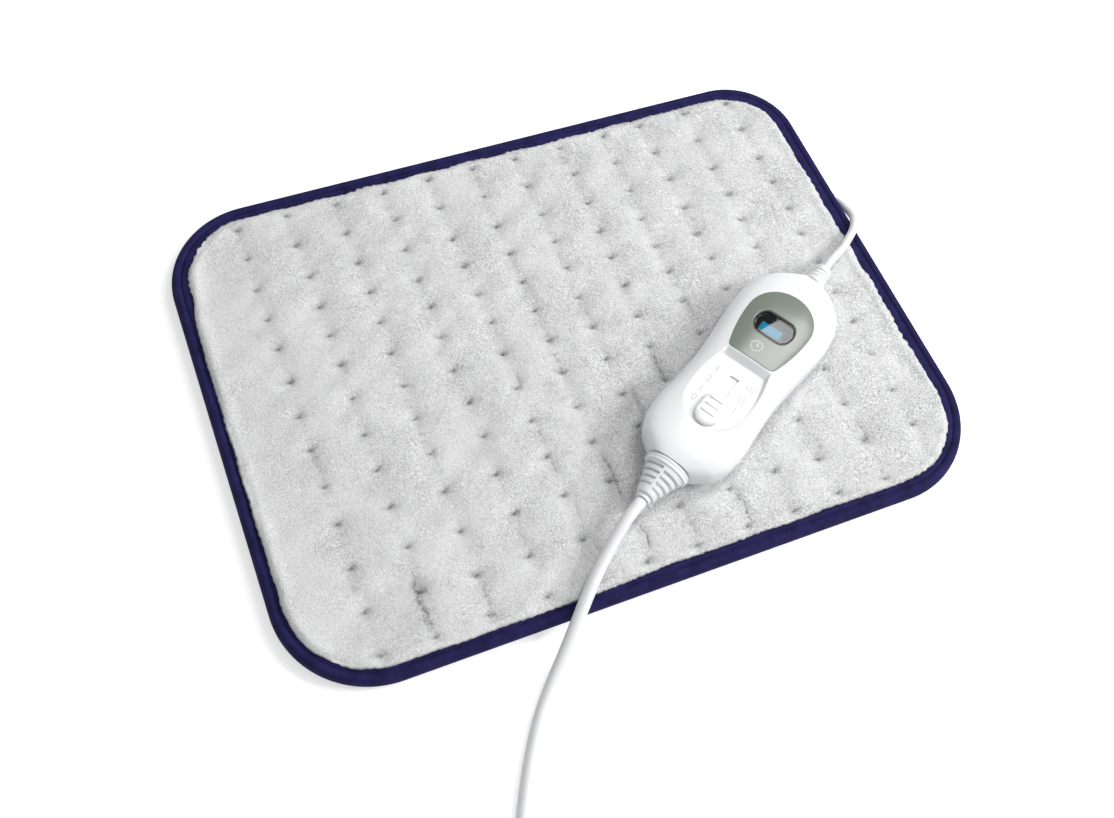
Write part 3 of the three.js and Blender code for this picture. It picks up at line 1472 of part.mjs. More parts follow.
function fromCoil(along, aside, z) {
  return [
    coilTip[0] + along * Math.cos(leaving) - aside * Math.sin(leaving),
    coilTip[1] + along * Math.sin(leaving) + aside * Math.cos(leaving),
    z,
  ];
}

const plugPlace = fromCoil(...tailEndPlace, plugHeight / 2);
const tailPath = smoothPath([
  fromCoil(touchGap, 0, coilTip[2]),
  ...tailRoute.map((p) => fromCoil(...p)),
  plugPlace,
], cordStep);
addPiece(part, 'mains_lead_end', tubeThrough(tailPath, mainsDiameter / 2, cordSides), 'cord');

// Tie round the coil's turns
function buildTie() {
  const angle = THREE.MathUtils.degToRad(tieAngle);
  const halfAngle = (2 * Math.PI) / coilStepsPerTurn;
  const near = coilTurnsPath.filter(([x, y]) => {
    const turn = Math.atan2(y - coilCentre[1], x - coilCentre[0]) - angle;
    return Math.abs(Math.atan2(Math.sin(turn), Math.cos(turn))) < halfAngle;
  }).map(([x, y]) => Math.hypot(x - coilCentre[0], y - coilCentre[1]));
  const inner = Math.min(...near) - mainsDiameter / 2 - tieGap;
  const outer = Math.max(...near) + mainsDiameter / 2 + tieGap;
  const bottom = coilBottom - mainsDiameter / 2 - touchGap;
  const top = coilBottom + coilPitch + mainsDiameter / 2 + touchGap;
  const wall = tieThickness;
  const half = tieWidth / 2;
  const loop = toSolid(block(inner - wall, outer + wall, -half, half, bottom - wall, top + wall))
    .subtract(toSolid(block(inner, outer, -tieWidth, tieWidth, bottom, top)));
  return toGeometry(loop.rotate([0, 0, tieAngle]).translate([coilCentre[0], coilCentre[1], 0]));
}

addPiece(part, 'coil_tie', buildTie(), 'dark');

// Plug, with its grooved tail, two pins and their sleeves
const plug = new THREE.Group();
const plugAim = tailPath.at(-1).map((v, k) => v - tailPath.at(-2)[k]);
plug.position.set(plugPlace[0], plugPlace[1], 0);
plug.rotation.z = Math.atan2(plugAim[1], plugAim[0]);
part.add(plug);
const plugMiddle = plugHeight / 2;
const plugBack = plugTailLength;
const plugFront = plugBack + plugLength;

function buildPlugBody() {
  const shape = new THREE.Shape();
  const edge = plugEdge;
  const wide = plugFrontHalf - edge;
  const narrow = plugBackHalf - edge;
  const flareFrom = plugBack + plugLength / 3;
  const flareTo = plugFront - plugLength / 3;
  shape.moveTo(plugBack + edge, -narrow);
  shape.quadraticCurveTo(flareFrom, -wide, flareTo, -wide);
  shape.lineTo(plugFront - edge, -wide);
  shape.lineTo(plugFront - edge, wide);
  shape.lineTo(flareTo, wide);
  shape.quadraticCurveTo(flareFrom, wide, plugBack + edge, narrow);
  shape.closePath();
  const body = new THREE.ExtrudeGeometry(shape, {
    depth: plugHeight - 2 * edge,
    bevelThickness: edge,
    bevelSize: edge,
    bevelSegments: 2,
    curveSegments: 3,
  });
  body.translate(0, 0, edge);
  const profile = [[0, touchGap], [plugTailTip, touchGap]];
  const grooveStep = (plugTailLength - touchGap) / (plugTailGrooves + 1);
  for (let i = 0; i < plugTailGrooves; i += 1) {
    const x = touchGap + grooveStep * (i + 1);
    const radius = plugTailTip + ((plugTailRadius - plugTailTip) * (i + 1)) / plugTailGrooves;
    profile.push([radius, x - plugTailGroove], [radius - plugTailGroove, x], [radius, x + plugTailGroove]);
  }
  profile.push([plugTailRadius, plugBack + plugLength / 3], [0, plugBack + plugLength / 3]);
  let whole = toSolid(body).add(toSolid(turnedAlongX(profile, plugMiddle, plugSides)));
  for (const side of [-1, 1]) {
    const hole = bar(plugFront - pinSocket, plugFront + cutOverrun, plugMiddle,
      pinRadius + touchGap, pinSides);
    hole.translate(0, (side * pinSpacing) / 2, 0);
    whole = whole.subtract(toSolid(hole));
  }
  return toGeometry(whole);
}

addPiece(plug, 'plug_body', buildPlugBody(), 'cord');
const pinFoot = plugFront - pinSocket + touchGap;
[-1, 1].forEach((side, i) => {
  const sleeveEnd = plugFront + pinSleeveLength;
  const tip = plugFront + pinLength;
  const pin = turnedAlongX([
    [0, pinFoot], [pinCore, pinFoot], [pinCore, sleeveEnd + touchGap], [pinRadius, sleeveEnd + touchGap],
    [pinRadius, tip - pinTip], [pinCore, tip], [0, tip],
  ], plugMiddle, pinSides);
  const bore = pinCore + touchGap;
  const sleeve = turnedAlongX([
    [bore, pinFoot], [pinRadius, pinFoot], [pinRadius, sleeveEnd], [bore, sleeveEnd], [bore, pinFoot],
  ], plugMiddle, pinSides);
  const y = (side * pinSpacing) / 2;
  addPiece(plug, `plug_pin_${i + 1}`, pin.translate(0, y, 0), 'steel');
  addPiece(plug, `pin_sleeve_${i + 1}`, sleeve.translate(0, y, 0), 'dark');
});

// Lengths of the leads, and the least gap of the coil to itself
function leastGap(points, diameter) {
  let least = Infinity;
  points.forEach((a, i) => {
    for (let j = i + Math.round(coilStepsPerTurn / 2); j < points.length; j += 1) {
      least = Math.min(least, Math.hypot(...a.map((v, k) => v - points[j][k])));
    }
  });
  return least - diameter;
}

const mainsTotal = lengthOf(mainsPath) + lengthOf(coilPath) + lengthOf(tailPath);
console.log(`mains lead ${mainsTotal.toFixed(0)} mm, pad lead ${lengthOf(freeLeadPath).toFixed(0)} mm`);
console.log(`least gap of the coil to itself ${leastGap(coilTurnsPath, mainsDiameter).toFixed(2)} mm`);

export default part;
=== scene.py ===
import math
import random

import bmesh
import bpy
import numpy as np
from mathutils import Matrix, Vector


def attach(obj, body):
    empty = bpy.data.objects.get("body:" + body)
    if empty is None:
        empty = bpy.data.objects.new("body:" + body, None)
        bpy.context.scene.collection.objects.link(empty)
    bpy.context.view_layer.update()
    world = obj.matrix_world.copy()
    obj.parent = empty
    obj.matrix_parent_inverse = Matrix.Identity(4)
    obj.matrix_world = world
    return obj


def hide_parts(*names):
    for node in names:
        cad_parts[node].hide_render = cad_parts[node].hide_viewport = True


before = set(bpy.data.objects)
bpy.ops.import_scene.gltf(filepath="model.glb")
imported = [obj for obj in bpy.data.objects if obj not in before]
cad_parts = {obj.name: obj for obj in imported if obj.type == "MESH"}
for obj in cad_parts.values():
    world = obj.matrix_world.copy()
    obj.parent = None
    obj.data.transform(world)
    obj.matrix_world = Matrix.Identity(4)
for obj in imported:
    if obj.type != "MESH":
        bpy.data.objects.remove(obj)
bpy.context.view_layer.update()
print("frame loaded:", len(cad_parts), "pieces")

mm = 0.001
fullTurn = 2 * math.pi
padBody = "pad_and_handset"
slideBody = "slider"

# the controller lies on the pad, turned this much, and its own x runs from the mains end to the pad end
controllerSeat = {"x": 86.2, "y": -52.0, "turn": 31.6}


def toController(places):
    # places in mm of the controller's frame, given back in mm of the pad's
    turn = math.radians(controllerSeat["turn"])
    out = places.copy()
    out[:, 0] = controllerSeat["x"] + places[:, 0] * math.cos(turn) - places[:, 1] * math.sin(turn)
    out[:, 1] = controllerSeat["y"] + places[:, 0] * math.sin(turn) + places[:, 1] * math.cos(turn)
    return out


def controllerPlace(x, y, z):
    return Vector(toController(np.array([[x, y, z]], float))[0])


def fade(t):
    t = np.clip(t, 0, 1)
    return t * t * (3 - 2 * t)


# camera, as the photograph was taken
cameraView = {
    "place": (-0.1864, -0.3077, 0.5939), "ahead": (0.2474, 0.4072, -0.8792), "up": (0.2879, 0.8355, 0.468),
    "lens": 39.07, "sensor": 36.0, "near": 0.01,
}


def addCamera(view):
    lens = bpy.data.cameras.new("photo_camera")
    lens.lens = view["lens"]
    lens.sensor_width = view["sensor"]
    lens.sensor_fit = "HORIZONTAL"
    lens.clip_start = view["near"]
    camera = bpy.data.objects.new("photo_camera", lens)
    bpy.context.scene.collection.objects.link(camera)
    ahead = Vector(view["ahead"]).normalized()
    right = ahead.cross(Vector(view["up"])).normalized()
    turned = Matrix((right, right.cross(ahead), -ahead)).transposed()
    camera.matrix_world = Matrix.Translation(view["place"]) @ turned.to_4x4()
    bpy.context.scene.camera = camera


addCamera(cameraView)


# nodes: an input is a value or another node's output
def feed(tree, node, inputs):
    for socket, value in inputs.items():
        if isinstance(value, bpy.types.NodeSocket):
            tree.links.new(value, node.inputs[socket])
        else:
            node.inputs[socket].default_value = value


def addNode(tree, kind, inputs=None, **settings):
    node = tree.nodes.new("ShaderNode" + kind)
    for key, value in settings.items():
        setattr(node, key, value)
    feed(tree, node, inputs or {})
    return node


def newMaterial(name):
    material = bpy.data.materials.new(name)
    material.use_nodes = True
    tree = material.node_tree
    return material, tree, tree.nodes["Principled BSDF"]


def newGroup(name, inputs, outputs):
    tree = bpy.data.node_groups.new(name, "ShaderNodeTree")
    for key, value in inputs.items():
        tree.interface.new_socket(key, in_out="INPUT", socket_type="NodeSocketFloat").default_value = value
    for key, kind in outputs.items():
        tree.interface.new_socket(key, in_out="OUTPUT", socket_type="NodeSocket" + kind)
    return tree, tree.nodes.new("NodeGroupInput").outputs, tree.nodes.new("NodeGroupOutput")


def objectPlace(tree):
    return addNode(tree, "TexCoord").outputs["Object"]


def noise(tree, scale, detail=2.0, roughness=0.5, distortion=0.0, place=None):
    return addNode(tree, "TexNoise", {"Vector": place or objectPlace(tree), "Scale": scale, "Detail": detail,
                                      "Roughness": roughness, "Distortion": distortion}).outputs["Fac"]


def combine(tree, operation, first, *others):
    # the operation taken from left to right over all the values
    for value in others:
        first = addNode(tree, "Math", {0: first, 1: value}, operation=operation).outputs[0]
    return first


def centred(tree, value, gain):
    return combine(tree, "MULTIPLY", combine(tree, "SUBTRACT", value, 0.5), gain)


def spread(tree, value, low, high, bottom, top, kind="LINEAR"):
    inputs = {"Value": value, "From Min": low, "From Max": high, "To Min": bottom, "To Max": top}
    return addNode(tree, "MapRange", inputs, interpolation_type=kind).outputs["Result"]


def bell(tree, source, width, offset=0.0):
    # exp(-((source - offset) / width)^2)
    inputs = {0: source, 1: 1 / width, 2: -offset / width}
    moved = addNode(tree, "Math", inputs, operation="MULTIPLY_ADD").outputs[0]
    low = combine(tree, "MULTIPLY", moved, moved, -1.0)
    return addNode(tree, "Math", {0: low}, operation="EXPONENT").outputs[0]


def raised(tree, height, strength, depth):
    inputs = {"Height": height, "Strength": strength, "Distance": depth}
    return addNode(tree, "Bump", inputs).outputs["Normal"]


def mixedColour(tree, value, *stops):
    ramp = addNode(tree, "ValToRGB", {"Fac": value})
    for element, (position, colour) in zip(ramp.color_ramp.elements, stops):
        element.position, element.color = position, (*colour, 1)
    return ramp.outputs["Color"]


def buildGrain():
    # one noise gives a finish its mottle, its uneven gloss and its fine height
    tree, given, out = newGroup(
        "surface_grain",
        {"Scale": 700.0, "Detail": 4.0, "Roughness": 0.5, "Distortion": 0.0,
         "Gloss Low": 0.0, "Gloss High": 1.0, "Strength": 0.2, "Depth": 0.00005},
        {"Mottle": "Float", "Gloss": "Float", "Normal": "Vector"})
    mottle = noise(tree, given["Scale"], given["Detail"], given["Roughness"], given["Distortion"])
    feed(tree, out, {
        "Mottle": mottle, "Gloss": spread(tree, mottle, 0.0, 1.0, given["Gloss Low"], given["Gloss High"]),
        "Normal": raised(tree, mottle, given["Strength"], given["Depth"]),
    })
    return tree


surfaceGrain = buildGrain()


def addGrain(tree, inputs):
    return addNode(tree, "Group", inputs, node_tree=surfaceGrain).outputs


def plainFinish(name, colour, roughness, scale=700.0, depth=0.00005):
    # moulded or printed surface with a faint grain in its gloss and height
    material, tree, shader = newMaterial(name)
    grain = addGrain(tree, {"Scale": scale, "Gloss Low": roughness * 0.85, "Gloss High": roughness * 1.15,
                            "Depth": depth})
    feed(tree, shader, {"Base Color": (*colour, 1), "Roughness": grain["Gloss"], "Normal": grain["Normal"]})
    return material


def mottledFinish(name, dark, light, scale, roughness, metallic):
    # the colour drifts between the two, and the gloss with it
    material, tree, shader = newMaterial(name)
    grain = addGrain(tree, {"Scale": scale, "Detail": 5.0, "Roughness": 0.6,
                            "Gloss Low": roughness * 0.7, "Gloss High": roughness * 1.3})
    feed(tree, shader, {"Base Color": mixedColour(tree, grain["Mottle"], (0.35, dark), (0.65, light)),
                        "Roughness": grain["Gloss"], "Metallic": metallic})
    return material


def cordFinish(name, colour):
    # soft matt PVC with a faint grain
    material, tree, shader = newMaterial(name)
    grain = addGrain(tree, {"Scale": 900.0, "Detail": 3.0, "Strength": 0.12, "Depth": 0.0002})
    feed(tree, shader, {"Base Color": (*colour, 1), "Roughness": 0.42, "Normal": grain["Normal"]})
    return material


def smokedGlass(name):
    material, tree, shader = newMaterial(name)
    grain = addGrain(tree, {"Scale": 160.0, "Detail": 3.0, "Gloss Low": 0.002, "Gloss High": 0.012})
    feed(tree, shader, {"Base Color": (0.85, 0.87, 0.9, 1), "Roughness": grain["Gloss"],
                        "Transmission Weight": 1.0, "IOR": 1.3})
    return material


cordWhite = cordFinish("white_cord", (0.72, 0.725, 0.735))
shellWhite = plainFinish("shell_white", (0.76, 0.765, 0.78), 0.3)
# the shutter is whiter than the shell: painted light that lifts the shade down in the slot
shutterPaintedLight = plainFinish("shutter_white_painted_light", (0.93, 0.93, 0.94), 0.4)
silverGreen = plainFinish("silver_panel", (0.17, 0.198, 0.164), 0.2, scale=260, depth=0.00001)
sealBlack = plainFinish("seal_black", (0.006, 0.006, 0.006), 0.5)
palePrint = plainFinish("pale_print", (0.53, 0.54, 0.56), 0.5)
creamPrint = plainFinish("cream_print", (0.86, 0.87, 0.82), 0.5)
windowGlass = smokedGlass("window_glass")


# meshes: places are in mm until they are stored
def linkPiece(name, mesh):
    piece = bpy.data.objects.new(name, mesh)
    bpy.context.scene.collection.objects.link(piece)
    return piece


def gridPiece(name, rows, closeRows=False, closeColumns=False, smooth=True):
    # a grid of places becomes a mesh, closed round its columns or rows where asked
    table = np.array(rows, float) * mm
    countI, countJ = table.shape[:2]
    faces = [(i * countJ + j, i * countJ + (j + 1) % countJ,
              (i + 1) % countI * countJ + (j + 1) % countJ, (i + 1) % countI * countJ + j)
             for i in range(countI if closeRows else countI - 1)
             for j in range(countJ if closeColumns else countJ - 1)]
    mesh = bpy.data.meshes.new(name)
    mesh.from_pydata(table.reshape(-1, 3).tolist(), [], faces)
    mesh.validate()
    mesh.polygons.foreach_set("use_smooth", [smooth] * len(mesh.polygons))
    return linkPiece(name, mesh)


def pickOnly(piece):
    if bpy.context.object and bpy.context.object.mode != "OBJECT":
        bpy.ops.object.mode_set(mode="OBJECT")
    bpy.ops.object.select_all(action="DESELECT")
    piece.hide_set(False)
    piece.select_set(True)
    bpy.context.view_layer.objects.active = piece


def smoothBelow(piece, degrees):
    pickOnly(piece)
    bpy.ops.object.shade_smooth_by_angle(angle=math.radians(degrees))


def applyModifier(piece, kind, **settings):
    pickOnly(piece)
    modifier = piece.modifiers.new(kind.lower(), kind)
    for key, value in settings.items():
        setattr(modifier, key, value)
    bpy.ops.object.modifier_apply(modifier=modifier.name)


def outwardNormals(piece):
    pickOnly(piece)
    bpy.ops.object.mode_set(mode="EDIT")
    bpy.ops.mesh.select_all(action="SELECT")
    bpy.ops.mesh.normals_make_consistent(inside=False)
    bpy.ops.object.mode_set(mode="OBJECT")


def faceUp(piece, up=True):
    # turn an open sheet over where its middle face looks the wrong way
    middle = piece.data.polygons[len(piece.data.polygons) // 2]
    if (middle.normal.z < 0) == up:
        piece.data.flip_normals()


def closeEnds(piece):
    work = bmesh.new()
    work.from_mesh(piece.data)
    bmesh.ops.holes_fill(work, edges=[edge for edge in work.edges if edge.is_boundary])
    bmesh.ops.recalc_face_normals(work, faces=work.faces)
    work.to_mesh(piece.data)
    work.free()


def closedPiece(name, rows, degrees):
    # a tube through the rows with both its ends filled
    piece = gridPiece(name, rows, closeColumns=True)
    closeEnds(piece)
    smoothBelow(piece, degrees)
    return piece


def meshPlaces(piece):
    flat = np.zeros(len(piece.data.vertices) * 3)
    piece.data.vertices.foreach_get("co", flat)
    return flat.reshape(-1, 3) / mm


def movePlaces(piece, change):
    # change takes an array of places and gives back the new ones
    piece.data.vertices.foreach_set("co", (change(meshPlaces(piece)) * mm).ravel())
    piece.data.update()


def seatPiece(piece, material):
    # out of the controller's frame to where it lies, and with its finish
    movePlaces(piece, toController)
    piece.data.materials.append(material)


def roundedBlock(name, x, y, low, high, edge):
    # a block (x0, x1), (y0, y1) with rounded edges
    bpy.ops.object.select_all(action="DESELECT")
    bpy.ops.mesh.primitive_cube_add(size=1)
    block = bpy.context.object
    block.name = name
    block.dimensions = (x[1] - x[0], y[1] - y[0], high - low)
    block.location = ((x[0] + x[1]) / 2, (y[0] + y[1]) / 2, (low + high) / 2)
    bpy.ops.object.transform_apply(location=True, rotation=True, scale=True)
    block.data.transform(Matrix.Scale(mm, 4))
    applyModifier(block, "BEVEL", width=edge * mm, segments=3)
    smoothBelow(block, 40)
    return block


def wave(x, y, seed, scale, count=14):
    # smooth irregular field between about -1 and 1
    chance = random.Random(seed)
    out = np.zeros(len(x))
    for _ in range(count):
        a = chance.uniform(0, fullTurn)
        k = fullTurn / (scale * chance.uniform(0.7, 1.5))
        out += np.sin(k * (x * math.cos(a) + y * math.sin(a)) + chance.uniform(0, fullTurn))
    return out / math.sqrt(count)


def level(line, z):
    return np.column_stack([line, np.full(len(line), z)])


def bend(t, start, corner, end):
    return (1 - t)**2 * start + 2 * t * (1 - t) * corner + t**2 * end


def evenly(points, count, closed=False):
    # the same line with its points at even spaces
    if closed:
        points = np.concatenate([points, points[:1]])
    length = np.concatenate([[0], np.cumsum(np.hypot(*np.diff(points, axis=0).T))])
    at = np.linspace(0, length[-1], count, endpoint=not closed)
    return np.stack([np.interp(at, length, points[:, k]) for k in (0, 1)], 1)


# cords: every point of a route in mm
def smoothRoute(points, step):
    # centripetal curve through the points, cut into pieces about one step long
    given = [Vector(p) for p in points]
    given = [given[0] * 2 - given[1], *given, given[-1] * 2 - given[-2]]
    route = []
    for a, b, c, d in zip(given, given[1:], given[2:], given[3:]):
        knots = [0.0]
        for first, second in ((a, b), (b, c), (c, d)):
            knots.append(knots[-1] + max((second - first).length, 1e-6) ** 0.5)
        t0, t1, t2, t3 = knots
        count = max(1, round((c - b).length / step))
        for k in range(count):
            t = t1 + (t2 - t1) * k / count
            a1 = a * ((t1 - t) / (t1 - t0)) + b * ((t - t0) / (t1 - t0))
            a2 = b * ((t2 - t) / (t2 - t1)) + c * ((t - t1) / (t2 - t1))
            a3 = c * ((t3 - t) / (t3 - t2)) + d * ((t - t2) / (t3 - t2))
            b1 = a1 * ((t2 - t) / (t2 - t0)) + a2 * ((t - t0) / (t2 - t0))
            b2 = a2 * ((t3 - t) / (t3 - t1)) + a3 * ((t - t1) / (t3 - t1))
            route.append(b1 * ((t2 - t) / (t2 - t1)) + b2 * ((t - t1) / (t2 - t1)))
    return route + [given[-2]]


def tubeMesh(name, route, radius, sides):
    # a closed round tube along the route, with u round it and v along it
    work = bmesh.new()
    uvLayer = work.loops.layers.uv.new("UVMap")
    angles = [fullTurn * k / sides for k in range(sides)]
    rings, lengths = [], [0.0]
    side = (route[1] - route[0]).normalized().cross(Vector((0, 0, 1))).normalized()
    for i, point in enumerate(route):
        ahead = (route[min(i + 1, len(route) - 1)] - route[max(i - 1, 0)]).normalized()
        side = (side - ahead * side.dot(ahead)).normalized()
        up = ahead.cross(side).normalized()
        if i:
            lengths.append(lengths[-1] + (point - route[i - 1]).length)
        rings.append([work.verts.new((point + (side * math.cos(a) + up * math.sin(a)) * radius) * mm)
                      for a in angles])
    for i in range(len(rings) - 1):
        for k in range(sides):
            n = (k + 1) % sides
            face = work.faces.new((rings[i][k], rings[i + 1][k], rings[i + 1][n], rings[i][n]))
            face.smooth = True
            around = (k / sides, k / sides, (k + 1) / sides, (k + 1) / sides)
            along = (lengths[i], lengths[i + 1], lengths[i + 1], lengths[i])
            for loop, u, v in zip(face.loops, around, along):
                loop[uvLayer].uv = (u, v * mm)
    work.faces.new(rings[0])
    work.faces.new(list(reversed(rings[-1])))
    bmesh.ops.recalc_face_normals(work, faces=work.faces)
    mesh = bpy.data.meshes.new(name)
    work.to_mesh(mesh)
    work.free()
    return linkPiece(name, mesh)


mainsLead = {
    "diameter": 6.8, "step": 5, "reliefEnd": [(-105.2, 0, 21), (-118.9, 0, 20.7)],
    "run": [
        (-28, -124.6, 17.6), (-38.6, -134, 16.1), (-49.4, -144.8, 14.2), (-59.8, -156, 11.4),
        (-70.2, -166.9, 7.4), (-80.4, -177.4, 4.4), (-92.6, -191.8, 3.5), (-105.6, -211.7, 3.5),
        (-116.3, -231.2, 3.5), (-126, -249, 3.7), (-134.4, -264.4, 4.4),
    ],
    "coilStart": (-141.5, -277.8), "heading": 243, "turns": 6.325, "pitch": 7.4, "innerRadius": 37.4,
    "coilBottom": 4.575,
    "tail": [(0.3, 0, 11.975), (14, 0, 11.9), (28, 0.2, 11), (42, 0.9, 8.9), (56, 2, 7), (70, 3.2, 6.4),
             (83, 4.4, 6.85)],
}


def coilRoute(lead):
    # two layers: in along the floor and out again on top of it
    heading = math.radians(lead["heading"])
    half = lead["turns"] / 2
    outer = lead["innerRadius"] + half / 2 * lead["pitch"]
    startX, startY = lead["coilStart"]
    cx, cy = startX - outer * math.sin(heading), startY + outer * math.cos(heading)
    steps = round(lead["turns"] * 24)
    points = []
    for k in range(steps + 1):
        turn = lead["turns"] * k / steps
        radius = outer - lead["pitch"] * min(turn, lead["turns"] - turn)
        angle = heading - math.pi / 2 + fullTurn * turn
        z = lead["coilBottom"] + lead["pitch"] * fade(turn - half + 0.5)
        points.append(Vector((cx + radius * math.cos(angle), cy + radius * math.sin(angle), z)))
    return points


coilPoints = coilRoute(mainsLead)


def fromCoil(along, aside, z):
    # a place beyond the coil's end, measured along the way in which the lead leaves it
    leaving = math.radians(mainsLead["heading"]) + mainsLead["turns"] * fullTurn
    along = along + mainsLead["diameter"]
    return (coilPoints[-1].x + along * math.cos(leaving) - aside * math.sin(leaving),
            coilPoints[-1].y + along * math.sin(leaving) + aside * math.cos(leaving), z)


headingAngle = math.radians(mainsLead["heading"])
coilEntry = Vector((math.cos(headingAngle), math.sin(headingAngle), 0)) * (mainsLead["diameter"] + 0.3)
mainsRun = [controllerPlace(*p) for p in mainsLead["reliefEnd"]]
mainsRun += [*mainsLead["run"], coilPoints[0] - coilEntry]
mainsTail = [fromCoil(*p) for p in mainsLead["tail"]]
mainsRoute = smoothRoute(mainsRun, mainsLead["step"]) + coilPoints + smoothRoute(mainsTail, mainsLead["step"])
mainsCord = tubeMesh("mains_cord", mainsRoute, mainsLead["diameter"] / 2, 16)
mainsCord.data.materials.append(cordWhite)
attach(mainsCord, padBody)
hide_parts("mains_lead", "mains_lead_coil", "mains_lead_end")

padLead = {
    "diameter": 5.0, "step": 2, "exit": (197.7, 51, 4.25), "reliefEnd": [(89.4, 0, 21), (84.7, 0, 21)],
    "run": [
        (202.5, 45.2, 4), (204.1, 38.9, 4.1), (203.9, 32.4, 6), (201.6, 26.8, 9), (197.9, 21.3, 11.5),
        (193.9, 16.7, 12.6), (187.8, 11.7, 13.6), (180.3, 6.1, 14.8), (172.1, 1.3, 16.8),
    ],
}
padExit, padFirst = Vector(padLead["exit"]), Vector(padLead["run"][0])
padRoute = smoothRoute([padExit + (padFirst - padExit).normalized() * 0.3, *padLead["run"],
                        *[controllerPlace(*p) for p in padLead["reliefEnd"]]], padLead["step"])
padCord = tubeMesh("pad_cord", padRoute, padLead["diameter"] / 2, 20)
padCord.data.materials.append(cordWhite)
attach(padCord, padBody)
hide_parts("pad_lead")
print("cords laid")

# controller housing: stations are its place along, then shares of half width, top height and bottom depth
housing = {
    "length": 149.0, "mainsEnd": -79.5, "halfWidth": 30.0, "split": 21.0, "gap": 0.15,
    "topHeight": 13.8, "bottomDepth": 11.2, "topRound": 3.0, "bottomRound": 3.4, "wall": 1.2,
    "screws": ((-55, -21.2), (-55, 21.2), (42, -22), (42, 22)), "screwBore": 3.05, "screwCut": (5, 17),
    "stations": [
        (0, .433, .674, .83), (.02, .57, .71, .9), (.055, .765, .745, .96), (.115, .905, .765, 1),
        (.2, .95, .775, 1), (.31, .91, .82, 1), (.43, .885, .9, 1), (.53, .915, .965, 1),
        (.65, .975, 1, 1), (.757, 1, .975, 1), (.84, .955, .91, .985), (.9, .845, .83, .95),
        (.945, .655, .735, .88), (.978, .44, .62, .77), (1, .287, .5, .62),
    ],
    "neckMains": 6.45, "neckPad": 4.85, "capShares": (0, 0.35, 0.7, 0.95),
}
# keyholes are flat end, its half width, widest place, half width there and round end; the window is middle,
# half length, half width and height of its round ends
front = {
    "panel": (-3.4, 14.4, 28, 19.7, 48), "panelCorners": (2.0, 2.8), "panelRise": 0.14,
    "panelSides": (0.9, 1.15), "recess": (-7.6, 14.2, -34, 18, -54.4), "recessFloor": 30.8, "recessEdge": 1.7,
    "riserRun": 4.1, "pressed": (-58, 52), "seatDepth": 1.25, "seatGap": 0.6, "seatInset": 0.95,
    "seatEdge": 0.8, "window": (22, 8, 12, 5.5), "windowTop": 34.3, "windowThick": 1.2, "windowEdge": 0.1,
    "windowCrown": 0.015, "windowGap": 0.9, "panelGap": 0.25, "windowCut": (27, 38),
    "slotFrom": -47.1, "slotTo": -17.1, "slotHalf": 2.75,
}


def smoothColumn(along, column):
    # a curve through the stations that doesn't overshoot
    table = np.array(housing["stations"])
    xs, ys = table[:, 0], table[:, column]
    step = np.diff(xs)
    slope = np.diff(ys) / step
    tangent = np.zeros(len(xs))
    for i in range(1, len(xs) - 1):
        if slope[i - 1] * slope[i] > 0:
            w1, w2 = 2 * step[i] + step[i - 1], step[i] + 2 * step[i - 1]
            tangent[i] = (w1 + w2) / (w1 / slope[i - 1] + w2 / slope[i])
    tangent[0], tangent[-1] = slope[0], slope[-1]
    along = np.clip(np.asarray(along, float), 0, 1)
    i = np.clip(np.searchsorted(xs, along, side="right") - 1, 0, len(xs) - 2)
    t = (along - xs[i]) / step[i]
    return ((2 * t**3 - 3 * t**2 + 1) * ys[i] + (t**3 - 2 * t**2 + t) * step[i] * tangent[i]
            + (-2 * t**3 + 3 * t**2) * ys[i + 1] + (t**3 - t**2) * step[i] * tangent[i + 1])


def housingSize(x, column):
    scale = (None, housing["halfWidth"], housing["topHeight"], housing["bottomDepth"])[column]
    return smoothColumn((np.asarray(x, float) - housing["mainsEnd"]) / housing["length"], column) * scale


def topSkin(x, y):
    share = np.clip(1 - np.abs(y / housingSize(x, 1)) ** housing["topRound"], 0, 1)
    return housing["split"] + housingSize(x, 2) * share ** (1 / housing["topRound"])


def keyholeOutline(flatX, flatHalf, wideX, wideHalf, roundX, count=96):
    side = math.copysign(1, roundX - flatX)
    t = np.linspace(0, 1, count // 3, endpoint=False)
    first = np.stack([bend(t, flatX, (wideX + flatX) / 2, wideX),
                      -side * bend(t, flatHalf, wideHalf, wideHalf)], 1)
    a = np.linspace(-math.pi / 2, math.pi / 2, count // 2, endpoint=False) * side
    middle = np.stack([wideX + abs(roundX - wideX) * np.cos(a) * side, wideHalf * np.sin(a)], 1)
    flat = np.linspace(1, -1, count // 4)[1:-1]
    end = np.stack([np.full(len(flat), flatX), side * flatHalf * flat], 1)
    return np.concatenate([first, middle, [[wideX, side * wideHalf]], first[::-1] * [1, -1], end])


def roundCorner(outline, corner, reach):
    # the outline's points near this corner give way to a smooth bend
    near = np.hypot(*(outline - corner).T) < reach
    start = next(i for i in range(len(outline)) if near[i] and not near[i - 1])
    outline = np.roll(outline, -start, 0)
    count = int(near.sum())
    corner = bend(np.linspace(0, 1, 9)[:, None], outline[-1], np.array(corner), outline[count])
    return np.concatenate([corner, outline[count + 1:-1]])


def windowOutline(grow=0.0, count=96):
    # the window's pill shape, grown all round
    x, along, across, cap = np.array(front["window"]) + [0, grow, grow, grow]
    a = np.linspace(0, math.pi, count // 2)
    top = np.stack([x + along * np.cos(a), across - cap + cap * np.sin(a)], 1)
    return np.concatenate([top, [2 * x, 0] - top])


